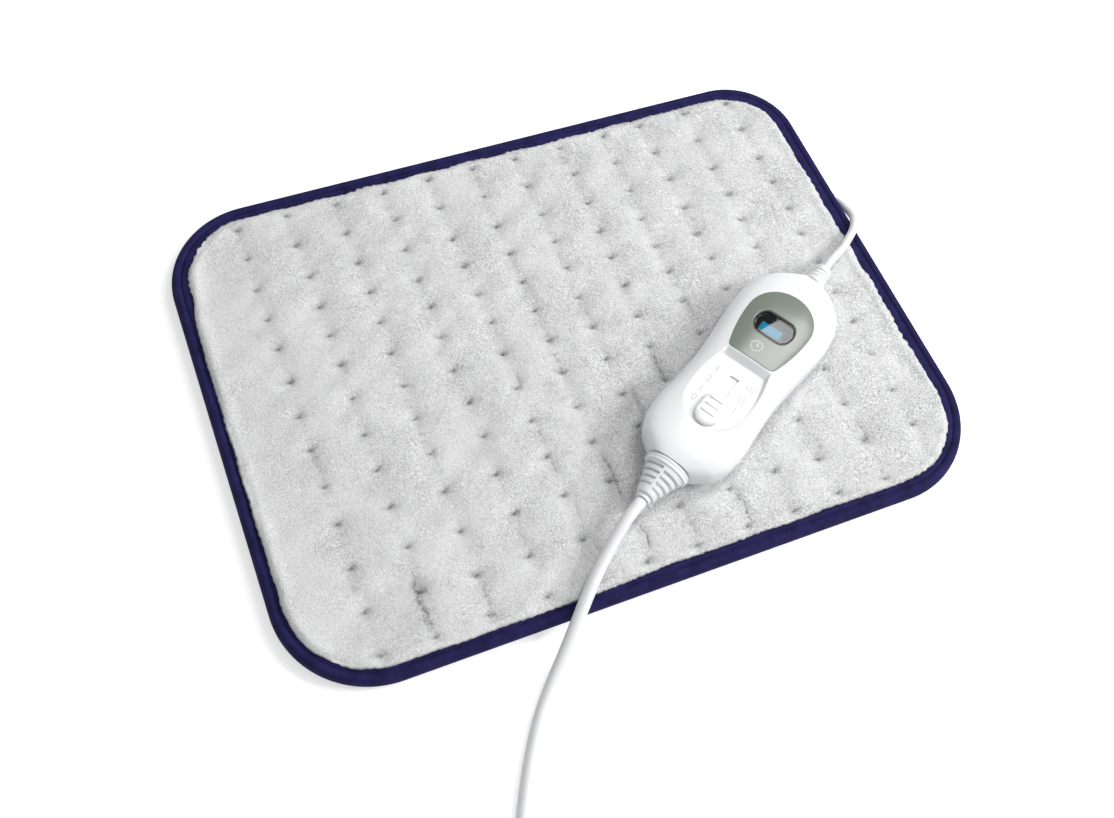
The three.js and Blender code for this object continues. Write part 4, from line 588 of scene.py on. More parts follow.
def outlineDistance(points, outline):
    # signed distance to a closed outline, negative inside
    best = np.full(len(points), 1e9)
    inside = np.zeros(len(points), bool)
    for p, q in zip(outline, np.roll(outline, -1, 0)):
        edge = q - p
        size = edge @ edge
        if size < 1e-12:
            continue
        t = np.clip(((points - p) @ edge) / size, 0, 1)
        best = np.minimum(best, np.hypot(*(points - p - t[:, None] * edge).T))
        crosses = (p[1] > points[:, 1]) != (q[1] > points[:, 1])
        with np.errstate(divide="ignore", invalid="ignore"):
            at = p[0] + (points[:, 1] - p[1]) * edge[0] / edge[1]
        inside ^= crosses & (points[:, 0] < at)
    return np.where(inside, -best, best)


recessLine = keyholeOutline(*front["recess"])
panelLine = keyholeOutline(*front["panel"])
for side, reach in zip((1, -1), front["panelCorners"]):
    panelLine = roundCorner(panelLine, (front["panel"][0], side * front["panel"][1]), reach)


def frontHeight(x, y, skin):
    # recess with its riser, then the seat of the panel
    points = np.stack([x, y], 1)
    flatX, flatHalf = front["panel"][:2]
    lowered = np.minimum(skin, front["recessFloor"])
    z = skin + (lowered - skin) * fade(0.5 - outlineDistance(points, recessLine) / front["recessEdge"])
    rise = (x - flatX + front["seatGap"]) / front["riserRun"] + 1
    ramp = front["recessFloor"] + (skin - front["recessFloor"]) * np.clip(rise, 0, 1)
    side = fade((flatHalf + front["seatGap"] - np.abs(y)) / front["recessEdge"])
    between = (x > front["recess"][0] - 3) & (x <= flatX + 1) & (np.abs(y) < flatHalf + 3)
    z = np.where(between, np.minimum(z, skin + (np.minimum(ramp, skin) - skin) * side), z)
    inPanel = outlineDistance(points, panelLine) + front["seatInset"]
    return z - front["seatDepth"] * fade(0.5 - inPanel / front["seatEdge"])


def pressFront(places):
    start, end = front["pressed"]
    inner = (places[:, 2] > housing["split"] + 5) & (places[:, 0] > start) & (places[:, 0] < end)
    places[inner, 2] = frontHeight(*places[inner].T)
    return places


def sectionRow(x, count, lower=False, middle=None):
    # half a section from one side of the split over the top (or under the bottom) to the other side
    width, high = float(housingSize(x, 1)), float(housingSize(x, 3 if lower else 2))
    power = housing["bottomRound" if lower else "topRound"]
    a = np.linspace(0, math.pi, 1600)
    curve = np.stack([width * np.sign(np.cos(a)) * np.abs(np.cos(a)) ** (2 / power),
                      high * np.abs(np.sin(a)) ** (2 / power)], 1)
    if middle is None:
        curve = evenly(curve, count)
    else:
        # the places across the slot stay where they are, and the rest is shared out evenly
        crown = np.stack([middle, high * (1 - np.abs(middle / width) ** power) ** (1 / power)], 1)[::-1]
        rise = np.concatenate([curve[curve[:, 0] >= middle[-1]], crown[:1]])
        rise = evenly(rise, (count - len(middle)) // 2 + 1)[:-1]
        curve = np.concatenate([rise, crown, rise[::-1] * [-1, 1]])
    z = np.maximum(curve[:, 1], housing["gap"])
    return np.stack([np.full(len(z), x), curve[:, 0], housing["split"] + (-z if lower else z)], 1)


def capRows(row, neck, lower):
    # rows from the neck's round hole out to the end section
    angle = np.linspace(0, math.pi, len(row))
    z = np.maximum(neck * np.sin(angle), housing["gap"])
    hole = np.stack([row[:, 0], neck * np.cos(angle), housing["split"] + (-z if lower else z)], 1)
    return [hole + (row - hole) * share for share in housing["capShares"]]


def cutHole(piece, outline, low, high):
    # take a straight-walled opening of this outline out of a piece, both still in the controller's frame
    cutter = gridPiece("cutter", [level(outline, low), level(outline, high)], closeColumns=True, smooth=False)
    closeEnds(cutter)
    applyModifier(piece, "BOOLEAN", object=cutter, operation="DIFFERENCE", solver="EXACT")
    bpy.data.objects.remove(cutter, do_unlink=True)


def openSlot(shell):
    # the slot that the knob's stem slides in
    work = bmesh.new()
    work.from_mesh(shell.data)
    gone = []
    for face in work.faces:
        x, y, z = face.calc_center_median() / mm
        if front["slotFrom"] < x < front["slotTo"] and abs(y) < front["slotHalf"] and z > 25:
            gone.append(face)
    bmesh.ops.delete(work, geom=gone, context="FACES")
    work.to_mesh(shell.data)
    work.free()


def buildHousing(name, lower):
    start, end = housing["mainsEnd"], housing["mainsEnd"] + housing["length"]
    if lower:
        rows = [sectionRow(x, 81, True) for x in np.linspace(start, end, 120)]
    else:
        xs = [np.linspace(start, front["slotFrom"], 57)[:-1],
              np.linspace(front["slotFrom"], front["slotTo"], 53)[:-1],
              np.linspace(front["slotTo"], end, 165)]
        middle = np.arange(-11, 12) * front["slotHalf"] / 5
        rows = [sectionRow(x, 159, False, middle) for x in np.concatenate(xs)]
    shell = gridPiece(name, [*capRows(rows[0], housing["neckMains"], lower), *rows,
                             *capRows(rows[-1], housing["neckPad"], lower)[::-1]])
    if not lower:
        movePlaces(shell, pressFront)
        openSlot(shell)
    outwardNormals(shell)
    faceUp(shell, not lower)
    applyModifier(shell, "SOLIDIFY", thickness=housing["wall"] * mm, offset=-1, use_rim=True)
    if lower:
        around = np.linspace(0, fullTurn, 32, endpoint=False)
        bore = housing["screwBore"] * np.stack([np.cos(around), np.sin(around)], 1)
        for screw in housing["screws"]:
            cutHole(shell, bore + screw, *housing["screwCut"])
    else:
        cutHole(shell, evenly(windowOutline(front["windowGap"]), 90, closed=True), *front["windowCut"])
    smoothBelow(shell, 38)
    return shell


for name, node, lower in (("housing_top", "upper_housing", False), ("housing_bottom", "lower_housing", True)):
    shell = buildHousing(name, lower)
    seatPiece(shell, shellWhite)
    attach(shell, padBody)
    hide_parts(node)
print("housing moulded")


def buildPanel():
    # a thin sheet over the housing's skin, with the window's hole
    outer, inner = (evenly(line, 180, closed=True) for line in (panelLine, windowOutline(front["panelGap"])))
    middle = (front["window"][0], 0)
    angle, innerAngle = (np.arctan2(*(line - middle).T[::-1]) for line in (outer, inner))
    order = np.argsort(innerAngle)
    inner = np.stack([np.interp(angle, innerAngle[order], inner[order, k], period=fullTurn)
                      for k in (0, 1)], 1)
    shares = [0, 0.006, 0.02, 0.05, *np.linspace(0.1, 1, 16)]
    drops = [0.16, 0.04] + [0] * 18
    rows = []
    for share, drop in zip(shares, drops):
        flat = outer + (inner - outer) * share
        rows.append(np.column_stack([flat, topSkin(*flat.T) + front["panelRise"] - drop]))
    outerSide, innerSide = front["panelSides"]
    rows = [rows[0] - [0, 0, outerSide], *rows, rows[-1] - [0, 0, innerSide]]
    panel = gridPiece("silver_panel", rows, closeColumns=True, closeRows=True)
    outwardNormals(panel)
    return panel


panel = buildPanel()
seatPiece(panel, silverGreen)
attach(panel, padBody)
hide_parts("display_panel")


def domedPlate(name, outline, z, depth, edge, crown):
    # a plate of this outline with a rounded edge and a slight crown
    line = evenly(outline, 120, closed=True)
    middle = (line.max(0) + line.min(0)) / 2
    reach = np.hypot(*(line - middle).T)[:, None]
    rows = [level(line, z - depth), level(line, z - edge)]
    for a in np.linspace(0, math.pi / 2, 6)[1:]:
        drawnIn = 1 - edge * (1 - math.cos(a)) / reach
        rows.append(level(middle + (line - middle) * drawnIn, z - edge + edge * math.sin(a)))
    for share in (0.85, 0.7, 0.55, 0.4, 0.25, 0.12, 0.03):
        rows.append(level(middle + (line - middle) * share, z + crown * (1 - share**2)))
    return closedPiece(name, rows, 35)


window = domedPlate("window_glass", windowOutline(), front["windowTop"], front["windowThick"],
                    front["windowEdge"], front["windowCrown"])
seatPiece(window, windowGlass)
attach(window, padBody)
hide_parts("display_window")

# a black seal holds the glass by its rim: its outline's growth and height at each edge of its section
sealSection = ((0.04, 30.85), (0.04, 34.34), (-0.62, 34.34), (-0.62, 34.42),
               (0.2, 34.42), (0.2, 33.1), (0.85, 33.1), (0.85, 30.85))
sealRows = [level(evenly(windowOutline(grow), 90, closed=True), z) for grow, z in sealSection]
seal = gridPiece("window_seal", sealRows, closeRows=True, closeColumns=True, smooth=False)
outwardNormals(seal)
seatPiece(seal, sealBlack)
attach(seal, padBody)

# the lit display under the glass
display = {
    "x": (13.6, 30.4), "y": (-12.6, 12.6), "low": 29.8, "high": 30.8, "edge": 0.3,
    "lit": (18.2, 24.0, -5.8, 7.6), "litEdge": 0.15, "glow": (0.004, 0.2, 0.32), "strength": 1.3,
}


def displayFinish(name):
    # a dark panel with one lit field, which has a fine dot grid
    material, tree, shader = newMaterial(name)
    seat = (controllerSeat["x"] * mm, controllerSeat["y"] * mm, 0)
    moved = addNode(tree, "VectorMath", {0: objectPlace(tree), 1: seat}, operation="SUBTRACT").outputs[0]
    turned = addNode(tree, "VectorRotate", {"Vector": moved, "Angle": -math.radians(controllerSeat["turn"])},
                     rotation_type="Z_AXIS").outputs["Vector"]
    split = addNode(tree, "SeparateXYZ", {"Vector": turned}).outputs
    edges = []
    for axis, edge, outside in zip("XXYY", display["lit"], (0.0, 1.0, 0.0, 1.0)):
        low, high = (edge - display["litEdge"]) * mm, (edge + display["litEdge"]) * mm
        edges.append(spread(tree, split[axis], low, high, outside, 1.0 - outside, "SMOOTHSTEP"))
    dots = addNode(tree, "TexVoronoi", {"Vector": turned, "Scale": 2600.0, "Randomness": 0.0},
                   feature="F1", distance="CHEBYCHEV")
    grid = spread(tree, dots.outputs["Distance"], 0.35, 0.5, 1.0, 0.8)
    feed(tree, shader, {"Emission Strength": combine(tree, "MULTIPLY", *edges, grid, display["strength"]),
                        "Emission Color": (*display["glow"], 1), "Base Color": (0.003, 0.003, 0.004, 1),
                        "Roughness": 0.6, "Specular IOR Level": 0.05})
    return material


screen = roundedBlock("lit_display", display["x"], display["y"], display["low"], display["high"],
                      display["edge"])
seatPiece(screen, displayFinish("lit_display"))
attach(screen, padBody)
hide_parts("display_screen")

# slide knob: a low rounded button with three ribs and a stem, and the shutter that closes the slot from below
knob = {
    "x": -42.6, "length": 21.0, "width": 14.5, "base": 31.1, "height": 1.9, "edge": 1.3, "crown": 0.25,
    "ribs": (-3.2, 1.5, 6.2), "ribWidth": 1.2, "ribLength": 8.0, "ribHeight": 0.4, "ribDepth": 1.2,
    "ribEdge": 0.35, "stem": (4.0, 2.35), "stemEdge": 0.2, "stemFoot": 0.2, "stemTop": 0.6,
}
shutter = {"half": 29.5, "halfWidth": 5.2, "low": 27.9, "high": 29.55, "edge": 0.3}


def blockRound(name, x, halfX, halfY, low, high, edge):
    return roundedBlock(name, (x - halfX, x + halfX), (-halfY, halfY), low, high, edge)


def buildKnob():
    radius = knob["width"] / 2
    a = np.linspace(-math.pi / 2, math.pi / 2, 40)
    right = np.stack([knob["length"] / 2 - radius + radius * np.cos(a), radius * np.sin(a)], 1)
    top, height = knob["base"] + knob["height"], knob["height"] - knob["crown"]
    outline = np.concatenate([right, -right]) + [knob["x"], 0]
    piece = domedPlate("slide_button", outline, knob["base"] + height, height, knob["edge"], knob["crown"])
    ribTop = top + knob["ribHeight"]
    parts = [blockRound("knob_rib", knob["x"] + x, knob["ribWidth"] / 2, knob["ribLength"] / 2,
                        ribTop - knob["ribDepth"], ribTop, knob["ribEdge"]) for x in knob["ribs"]]
    parts.append(blockRound("knob_stem", knob["x"], *knob["stem"], shutter["high"] - knob["stemFoot"],
                            knob["base"] + knob["stemTop"], knob["stemEdge"]))
    pickOnly(piece)
    for part in parts:
        part.select_set(True)
    bpy.ops.object.join()
    return piece


button = buildKnob()
seatPiece(button, shellWhite)
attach(button, slideBody)
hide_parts("slide_knob")

# the strip's whiter finish is painted light against the shade in the slot
strip = blockRound("shutter_strip", knob["x"], shutter["half"], shutter["halfWidth"],
                   shutter["low"], shutter["high"], shutter["edge"])
seatPiece(strip, shutterPaintedLight)
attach(strip, slideBody)
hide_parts("slot_shutter")

# printing: plain numbers and bars beside the slot, and a round timer sign of dots with two hands on the panel
marks = {
    "numbers": (("3", -18.9, 11.4), ("2", -26.7, 11.4), ("1", -34.7, 11.4), ("0", -41.6, 11.4)),
    "numberSize": 6.2, "bars": ((3, -18.6), (2, -27.2), (1, -34.6)), "barY": -10.4, "bar": (2.3, 0.3),
    "barPitch": 1.9,
    "ring": (5.4, 1.3), "ringRadius": 3.3, "dots": 12, "dot": 0.42, "thick": 0.03,
    "hands": ((0.9, 0, 1.1, 0.2), (0, -0.6, 0.2, 0.8)),
}


def layPrint(name, shapes, surface, material):
    # outlines in mm of the controller's frame, laid just above the surface that carries them
    work = bmesh.new()
    for outline in shapes:
        work.faces.new([work.verts.new((x * mm, y * mm, (surface(x, y) + marks["thick"]) * mm))
                        for x, y in outline])
    bmesh.ops.recalc_face_normals(work, faces=work.faces)
    for face in work.faces:
        if face.normal.z < 0:
            face.normal_flip()
    mesh = bpy.data.meshes.new(name)
    work.to_mesh(mesh)
    work.free()
    piece = linkPiece(name, mesh)
    applyModifier(piece, "SOLIDIFY", thickness=marks["thick"] * mm * 1.5, offset=-1)
    seatPiece(piece, material)
    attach(piece, padBody)


def box(x, y, halfX, halfY):
    return [(x - halfX, y - halfY), (x + halfX, y - halfY), (x + halfX, y + halfY), (x - halfX, y + halfY)]


def timerSign():
    ringX, ringY = marks["ring"]
    shapes = []
    for a in np.linspace(0, fullTurn, marks["dots"], endpoint=False):
        cx, cy = ringX + marks["ringRadius"] * math.cos(a), ringY + marks["ringRadius"] * math.sin(a)
        shapes.append([(cx + marks["dot"] * math.cos(b), cy + marks["dot"] * math.sin(b))
                       for b in np.linspace(0, fullTurn, 12, endpoint=False)])
    return shapes + [box(ringX + x, ringY + y, halfX, halfY) for x, y, halfX, halfY in marks["hands"]]


def printNumber(letter, x, y):
    # the number stands with its top towards the pad end
    bpy.ops.object.select_all(action="DESELECT")
    bpy.ops.object.text_add()
    text = bpy.context.object
    text.data.body = letter
    text.data.align_x, text.data.align_y = "CENTER", "CENTER"
    text.data.size = marks["numberSize"] * mm
    text.data.extrude = marks["thick"] * mm
    text.location = (x * mm, y * mm, (front["recessFloor"] + marks["thick"] * 0.4) * mm)
    text.rotation_euler = (0, 0, -math.pi / 2)
    bpy.ops.object.convert(target="MESH")
    bpy.ops.object.transform_apply(location=True, rotation=True, scale=True)
    piece = bpy.context.object
    piece.name = "level_" + letter
    seatPiece(piece, palePrint)
    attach(piece, padBody)


bars = [box(x, marks["barY"] + (k - (count - 1) / 2) * marks["barPitch"], *marks["bar"])
        for count, x in marks["bars"] for k in range(count)]
layPrint("level_bars", bars, lambda x, y: front["recessFloor"], palePrint)
layPrint("timer_sign", timerSign(), lambda x, y: topSkin(x, y) + front["panelRise"], creamPrint)
for letter, x, y in marks["numbers"]:
    printNumber(letter, x, y)
print("front dressed")


def ringRow(x, y, z):
    return np.column_stack([np.full(len(y), x), y, housing["split"] + z])


def roundRow(x, radius, angle):
    return ringRow(x, radius * np.cos(angle), radius * np.sin(angle))


# strain relief of the mains lead: oval collar, then slotted rings on a spine
mainsRelief = {
    "root": -79.8, "length": 22.5, "collar": (13.1, 9.2), "band": 4.2, "step": 0.45,
    "tip": 5.7, "rim": 0.45, "rimRun": 0.6, "sleeve": 2.6, "sleeveRadius": 4.3, "sleeveEdge": 0.4,
    "slots": 4, "slotFirst": 6.8, "slotPitch": 3.75, "slotWidth": 1.3, "slotEdge": 0.2, "core": 4.5,
    "slotDepth": 0.7, "stagger": 0.8, "spineHalf": 0.9, "neck": 6.2, "neckLength": 6.5,
    "taper": [(0, 0), (.05, 0), (.3, .2), (.55, .42), (.8, .66), (1, .9)],
}


def buildMainsRelief():
    m = mainsRelief
    tipX, sleeveX = m["root"] - m["length"], m["root"] - m["length"] - m["sleeve"]
    angle = np.linspace(0, fullTurn, 96, endpoint=False)
    alongs, wides = zip(*m["taper"])
    rows = [roundRow(sleeveX, m["sleeveRadius"] - m["sleeveEdge"], angle),
            roundRow(sleeveX + m["sleeveEdge"], m["sleeveRadius"], angle),
            roundRow(tipX - 0.01, m["sleeveRadius"], angle)]
    for x in np.linspace(tipX, m["root"], 116):
        if x < m["root"] - m["band"]:
            wide = np.interp((x - tipX) / (m["length"] - m["band"]), alongs, wides)
            rim = m["rim"] * max(0, 1 - (x - tipX) / m["rimRun"])
            half, rise = (m["tip"] + (size - m["step"] - m["tip"]) * wide - rim for size in m["collar"])
        else:
            # two rounded bands of the collar
            t = (x - m["root"] + m["band"]) / m["band"] * 2 % 1
            half, rise = (size - m["step"] * (2 * t - 1) ** 4 for size in m["collar"])
        y, z = half * np.cos(angle), rise * np.sin(angle)
        for i in range(m["slots"]):
            middle = m["root"] - m["slotFirst"] - i * m["slotPitch"] + m["stagger"] * np.sign(y)
            deep = m["slotDepth"] * fade((m["slotWidth"] / 2 - np.abs(x - middle)) / m["slotEdge"] + 0.5)
            cut = fade((np.abs(y) - m["spineHalf"]) / 0.5 + 0.2) * deep
            scale = 1 + (m["core"] / np.hypot(y, z) - 1) * cut
            y, z = y * scale, z * scale
        rows.append(ringRow(x, y, z))
    rows += [roundRow(m["root"], m["neck"], angle), roundRow(m["root"] + m["neckLength"], m["neck"], angle)]
    return closedPiece("mains_boot", rows, 35)


mainsBoot = buildMainsRelief()
seatPiece(mainsBoot, cordWhite)
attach(mainsBoot, padBody)
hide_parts("mains_strain_relief")

# strain relief of the pad lead: a turned boot with shallow grooves
padRelief = {
    "start": 69.8, "length": 14.6, "root": 7.6, "middle": 5.5, "tip": 4.4, "tipRun": 1.8,
    "grooves": 4, "first": 0.9, "pitch": 2.9, "width": 1.0, "depth": 0.5, "neck": 4.6, "neckLength": 5,
}


def buildPadRelief():
    p = padRelief
    angle = np.linspace(0, fullTurn, 64, endpoint=False)
    xs = np.linspace(0, p["length"], 90)
    share = np.clip((xs - p["first"]) / ((p["grooves"] - 1) * p["pitch"]), 0, 1) ** 0.5
    radius = p["root"] + (p["middle"] - p["root"]) * share
    toTip = np.clip((xs - p["length"]) / p["tipRun"] + 1, 0, 1)
    radius = np.where(toTip > 0, p["middle"] + (p["tip"] - p["middle"]) * (1 - np.sqrt(1 - toTip**2)), radius)
    for i in range(p["grooves"]):
        off = np.abs(xs - p["first"] - i * p["pitch"] - p["width"] / 2) / (p["width"] / 2)
        radius -= p["depth"] * 0.5 * (1 + np.cos(math.pi * np.minimum(off, 1)))
    rows = [roundRow(p["start"] + x, p["neck"], angle) for x in (-p["neckLength"], 0)]
    rows += [roundRow(p["start"] + x, r, angle) for x, r in zip(xs, radius)]
    return closedPiece("pad_boot", rows, 40)


padBoot = buildPadRelief()
seatPiece(padBoot, cordWhite)
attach(padBoot, padBody)
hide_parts("pad_strain_relief")
print("strain reliefs made")

# the pad: outline with its own radius at each corner, counterclockwise from +x +y
pad = {
    "length": 400.0, "width": 300.0, "radii": (42, 51, 53, 56), "sides": ((1, 1), (-1, 1), (-1, -1), (1, -1)),
}


def padLine(inset, perCorner=48, perSide=90):
    corners = []
    for n, (side, radius) in enumerate(zip(pad["sides"], pad["radii"])):
        middle = np.array(side) * (pad["length"] / 2 - radius, pad["width"] / 2 - radius)
        a = np.radians(90 * n + np.linspace(0, 90, perCorner + 1))
        corners.append(middle + (radius - inset) * np.stack([np.cos(a), np.sin(a)], 1))
    # straight sides between the corners
    share = np.arange(1, perSide)[:, None] / perSide
    line = []
    for corner, following in zip(corners, corners[1:] + corners[:1]):
        line += [corner, corner[-1] + (following[0] - corner[-1]) * share]
    return np.concatenate(line)


def padInset(x, y):
    out = np.zeros(len(x))
    for (sx, sy), radius in zip(pad["sides"], pad["radii"]):
        mask = (x * sx >= 0) & (y * sy >= 0)
        dx = np.abs(x[mask]) - (pad["length"] / 2 - radius)
        dy = np.abs(y[mask]) - (pad["width"] / 2 - radius)
        out[mask] = radius - np.where((dx > 0) & (dy > 0), np.hypot(dx, dy), np.maximum(dx, dy))
    return out


# binding: a folded tape with a rounded outer roll, a stitched groove and a lip that runs on under the fleece
binding = {
    "lip": [(13.2, 7.9), (13.2, 8.15), (12.4, 8.3), (10.4, 8.5), (8.2, 8.72), (6.9, 8.75), (6.3, 8.6),
            (5.9, 8.05), (5.5, 8.0), (5.1, 8.55), (4.6, 8.9)],
    "rollWidth": 3.3, "height": 9.2, "bottom": [(9, 0.0), (9, 1.2), (3, 1.2), (3, 8.0)],
    "lipLow": 7.9, "lipHigh": 9.1, "uneven": 0.14,
}


def buildBinding():
    roll = [(binding["rollWidth"] * (1 - math.cos(a)), binding["height"] / 2 * (1 + math.sin(a)))
            for a in np.linspace(math.pi / 2, -math.pi / 2, 13)]
    columns = []
    for inset, z in binding["lip"] + roll + binding["bottom"]:
        column = level(padLine(inset), z)
        if z > binding["lipLow"]:
            # the lip lies a little uneven where the tape was pulled round the edge
            rise = fade((inset - 3) / 4) * binding["uneven"] * wave(column[:, 0], column[:, 1], 41, 34)
            column[:, 2] = np.clip(z + rise, binding["lipLow"], binding["lipHigh"])
        columns.append(column)
    tape = gridPiece("binding_tape", np.stack(columns, 1), closeRows=True, closeColumns=True)
    outwardNormals(tape)
    return tape


def wovenNavy(name, colour):
    # brushed polyester tape: a fine diagonal weave over a drifting tone
    material, tree, shader = newMaterial(name)
    threads = {"Vector": objectPlace(tree), "Scale": 420.0, "Distortion": 1.5, "Detail": 1.0,
               "Detail Scale": 2.0}
    weave = addNode(tree, "TexWave", threads, bands_direction="DIAGONAL").outputs["Fac"]
    mottle = addGrain(tree, {"Scale": 110.0, "Roughness": 0.6})["Mottle"]
    tone = mixedColour(tree, mottle, (0.3, [c * 0.6 for c in colour]), (0.72, [c * 1.35 for c in colour]))
    feed(tree, shader, {"Base Color": tone, "Normal": raised(tree, weave, 0.35, 0.0002), "Roughness": 0.8,
                        "Specular IOR Level": 0.12})
    return material


tape = buildBinding()
tape.data.materials.append(wovenNavy("binding_navy", (0.016, 0.0135, 0.072)))
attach(tape, padBody)
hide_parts("pad_edge_binding")
print("binding sewn")

# quilted fleece top: a padded cover held down by rows of sewn tufts
quilt = {
    "columns": (-154.5, -125, -96, -66.5, -37.5, -10, 18.5, 49, 77, 103.5, 134, 165),
    "rows": (134, 112, 89.5, 68, 47.5, 27, 5, -17, -39, -62, -87, -112, -135.5),
    "wander": 1.0, "drift": 5.0, "sewnFrom": 12.5, "cell": 5.2, "lowest": 7.4, "pressed": 9.6,
    "crown": 12.0, "level": 10.7, "calm": 0.5, "flat": 10.3, "tuft": 9.0, "edge": 9.3,
    "edges": {"left": 7.2, "near": 7.0, "nearRight": 8.6, "far": 10.2, "right": 11.2},
    "roll": (0.5, 3.0, 3.0), "tucked": 12.6, "tuckLevel": 8.9, "tuckDrop": 1.9,
    "waves": ((0.25, 11, 60), (0.045, 12, 15), (0.01, 13, 6)),
    "dents": ((0.8, 6.5, 5.2), (1.6, 2.0, 1.5)), "creases": ((1.0, 5.0), (0.9, 1.3)), "valley": (0.4, 4.5),
}
clothSteps = 16
clothSettings = {
    "quality": 6, "mass": 0.2, "tension_stiffness": 12, "compression_stiffness": 12, "shear_stiffness": 6,
    "bending_stiffness": 0.6, "use_pressure": True, "uniform_pressure_force": 2.2, "shrink_min": -0.03,
    "vertex_group_mass": "sewn",
}
# folds that the thread pulls between tufts: x, top y, bottom y, strength, half width, bow
folds = [
    (-127, -99, -137, 1.0, 2.2, -0.8), (-155, -18, -38, 0.3, 1.5, 0.4), (-157, -88, -104, 0.3, 1.2, -0.4),
    (-98, -18, -38, 0.35, 1.5, 0.4), (-96, -114, -134, 0.4, 1.1, 0.6), (-67, -92, -108, 0.2, 1.2, -0.5),
    (-36.5, -5, -18, 0.5, 0.9, 1.0), (-37, -44, -57, 0.55, 0.8, 0.6), (-36, -64, -75, 0.5, 0.9, -0.6),
    (-34.5, -89, -105, 0.35, 1.0, 0.5), (-33, -114, -129, 0.4, 0.9, 1.2), (-8, 46, 30, 0.3, 1.1, 0.6),
    (-9, 23, 5, 0.3, 1.2, -0.5), (-11, -3, -18, 0.35, 1.1, 0.4), (-9.5, -67, -105, 0.75, 1.2, 1.4),
    (-6.5, -114, -132, 0.8, 0.8, 1.6), (19.5, -114, -134, 0.5, 0.9, 1.0), (50, -113, -136, 0.9, 0.8, 2.2),
    (21.5, -34, -60, 0.55, 2.2, 0.8), (16, 62, 46, 0.2, 1.3, 0.3), (17, 21, 4, 0.25, 1.2, 0.5),
    (43, -17, -44, 0.9, 1.0, -0.6), (44.5, 36, 18, 0.45, 1.6, -0.6), (45.5, 129, 119, 0.45, 1.4, 1.0),
    (-10, 130, 115, 0.25, 1.4, 0.6), (127.5, 138, 128, 0.6, 0.7, 1.5), (76, 9, -8, 0.4, 1.1, 0.5),
    (134, -97, -115, 0.4, 1.0, 1.0), (108, -98, -116, 0.35, 1.0, -0.8),
]


def besideController(x, y):
    # distance from the housing's outline
    turn = math.radians(controllerSeat["turn"])
    dx, dy = x - controllerSeat["x"], y - controllerSeat["y"]
    along = dx * math.cos(turn) + dy * math.sin(turn)
    across = dy * math.cos(turn) - dx * math.sin(turn)
    padEnd = housing["mainsEnd"] + housing["length"]
    ends = np.maximum(np.maximum(housing["mainsEnd"] - along, along - padEnd), 0)
    return np.hypot(ends, np.maximum(0, np.abs(across) - housingSize(along, 1)))


def columnDraw(x, y):
    # towards the controller the cloth is drawn a little to the left
    along = np.clip((100 - y) / 120, 0, 1) * fade((y + 70) / 20)
    return quilt["drift"] * np.exp(-((x - 55) / 32) ** 2) * along


def sewField():
    # tufts as (x, y, size, tilt) on the quilting's columns and rows
    chance = random.Random(7)
    places = []
    for x in quilt["columns"]:
        for y in quilt["rows"]:
            at = (x - columnDraw(x, y) + chance.uniform(-1, 1) * quilt["wander"],
                  y + chance.uniform(-1, 1) * quilt["wander"],
                  chance.uniform(0.8, 1.15), math.radians(chance.uniform(-8, 24)))
            if padInset(np.array(at[:1]), np.array(at[1:2]))[0] > quilt["sewnFrom"]:
                places.append(at)
    return np.array(places)


tufts = sewField()
print(len(tufts), "tufts,", len(folds), "folds")


def outlineReach(angle, inset):
    # how far the pad's outline, drawn in by inset, lies from the middle along each angle
    low, high = np.zeros(len(angle)), np.full(len(angle), 300.0)
    for _ in range(40):
        middle = (low + high) / 2
        inside = padInset(middle * np.cos(angle), middle * np.sin(angle)) > inset
        low, high = np.where(inside, middle, low), np.where(inside, high, middle)
    return low


def padGrid(cell, inset):
    # a regular grid whose outer rings bend to the rounded outline, with its size and which places are its rim
    size = int(pad["length"] / cell), int(pad["width"] / cell)
    u, v = (a.ravel() for a in np.meshgrid(*(np.linspace(-1, 1, n) for n in size), indexing="ij"))
    hx, hy = pad["length"] / 2, pad["width"] / 2
    angle = np.arctan2(v * hy, u * hx)
    square = np.minimum(hx / np.maximum(np.abs(np.cos(angle)), 1e-9),
                        hy / np.maximum(np.abs(np.sin(angle)), 1e-9))
    s = np.maximum(np.abs(u), np.abs(v))
    if callable(inset):
        inset = inset(square * np.cos(angle), square * np.sin(angle))
    reach = outlineReach(angle, inset)
    blend = fade((s - 0.55) / 0.45)
    rim = s > 0.999999
    r = np.where(rim, reach, s * square * (1 + (reach / square - 1) * (blend * 0.35 + 0.65 * s**6)))
    return r * np.cos(angle), r * np.sin(angle), size, rim


def sheetPiece(name, x, y, z, size, up=True):
    piece = gridPiece(name, np.column_stack([x, y, z]).reshape(*size, 3))
    faceUp(piece, up)
    return piece


def fleeceInset(x, y):
    # how far in from the outline the pile ends: it hides more of the binding at the left and the near side
    edges = quilt["edges"]
    near = edges["near"] + (edges["nearRight"] - edges["near"]) * fade((x + 45) / 40)
    along = near + (edges["far"] - near) * fade((y + 110) / 200)
    toRight, toLeft = fade((x - 150) / 45), fade((-x - 150) / 45) * fade((110 - y) / 40)
    base = along + (edges["right"] - along) * toRight * fade((y + 140) / 60)
    base = base + (edges["left"] - base) * toLeft
    ragged = 0.35 + 0.65 * fade((base - 8.5) / 1.5)
    return base - ragged * 0.75 * wave(x, y, 3, 24)


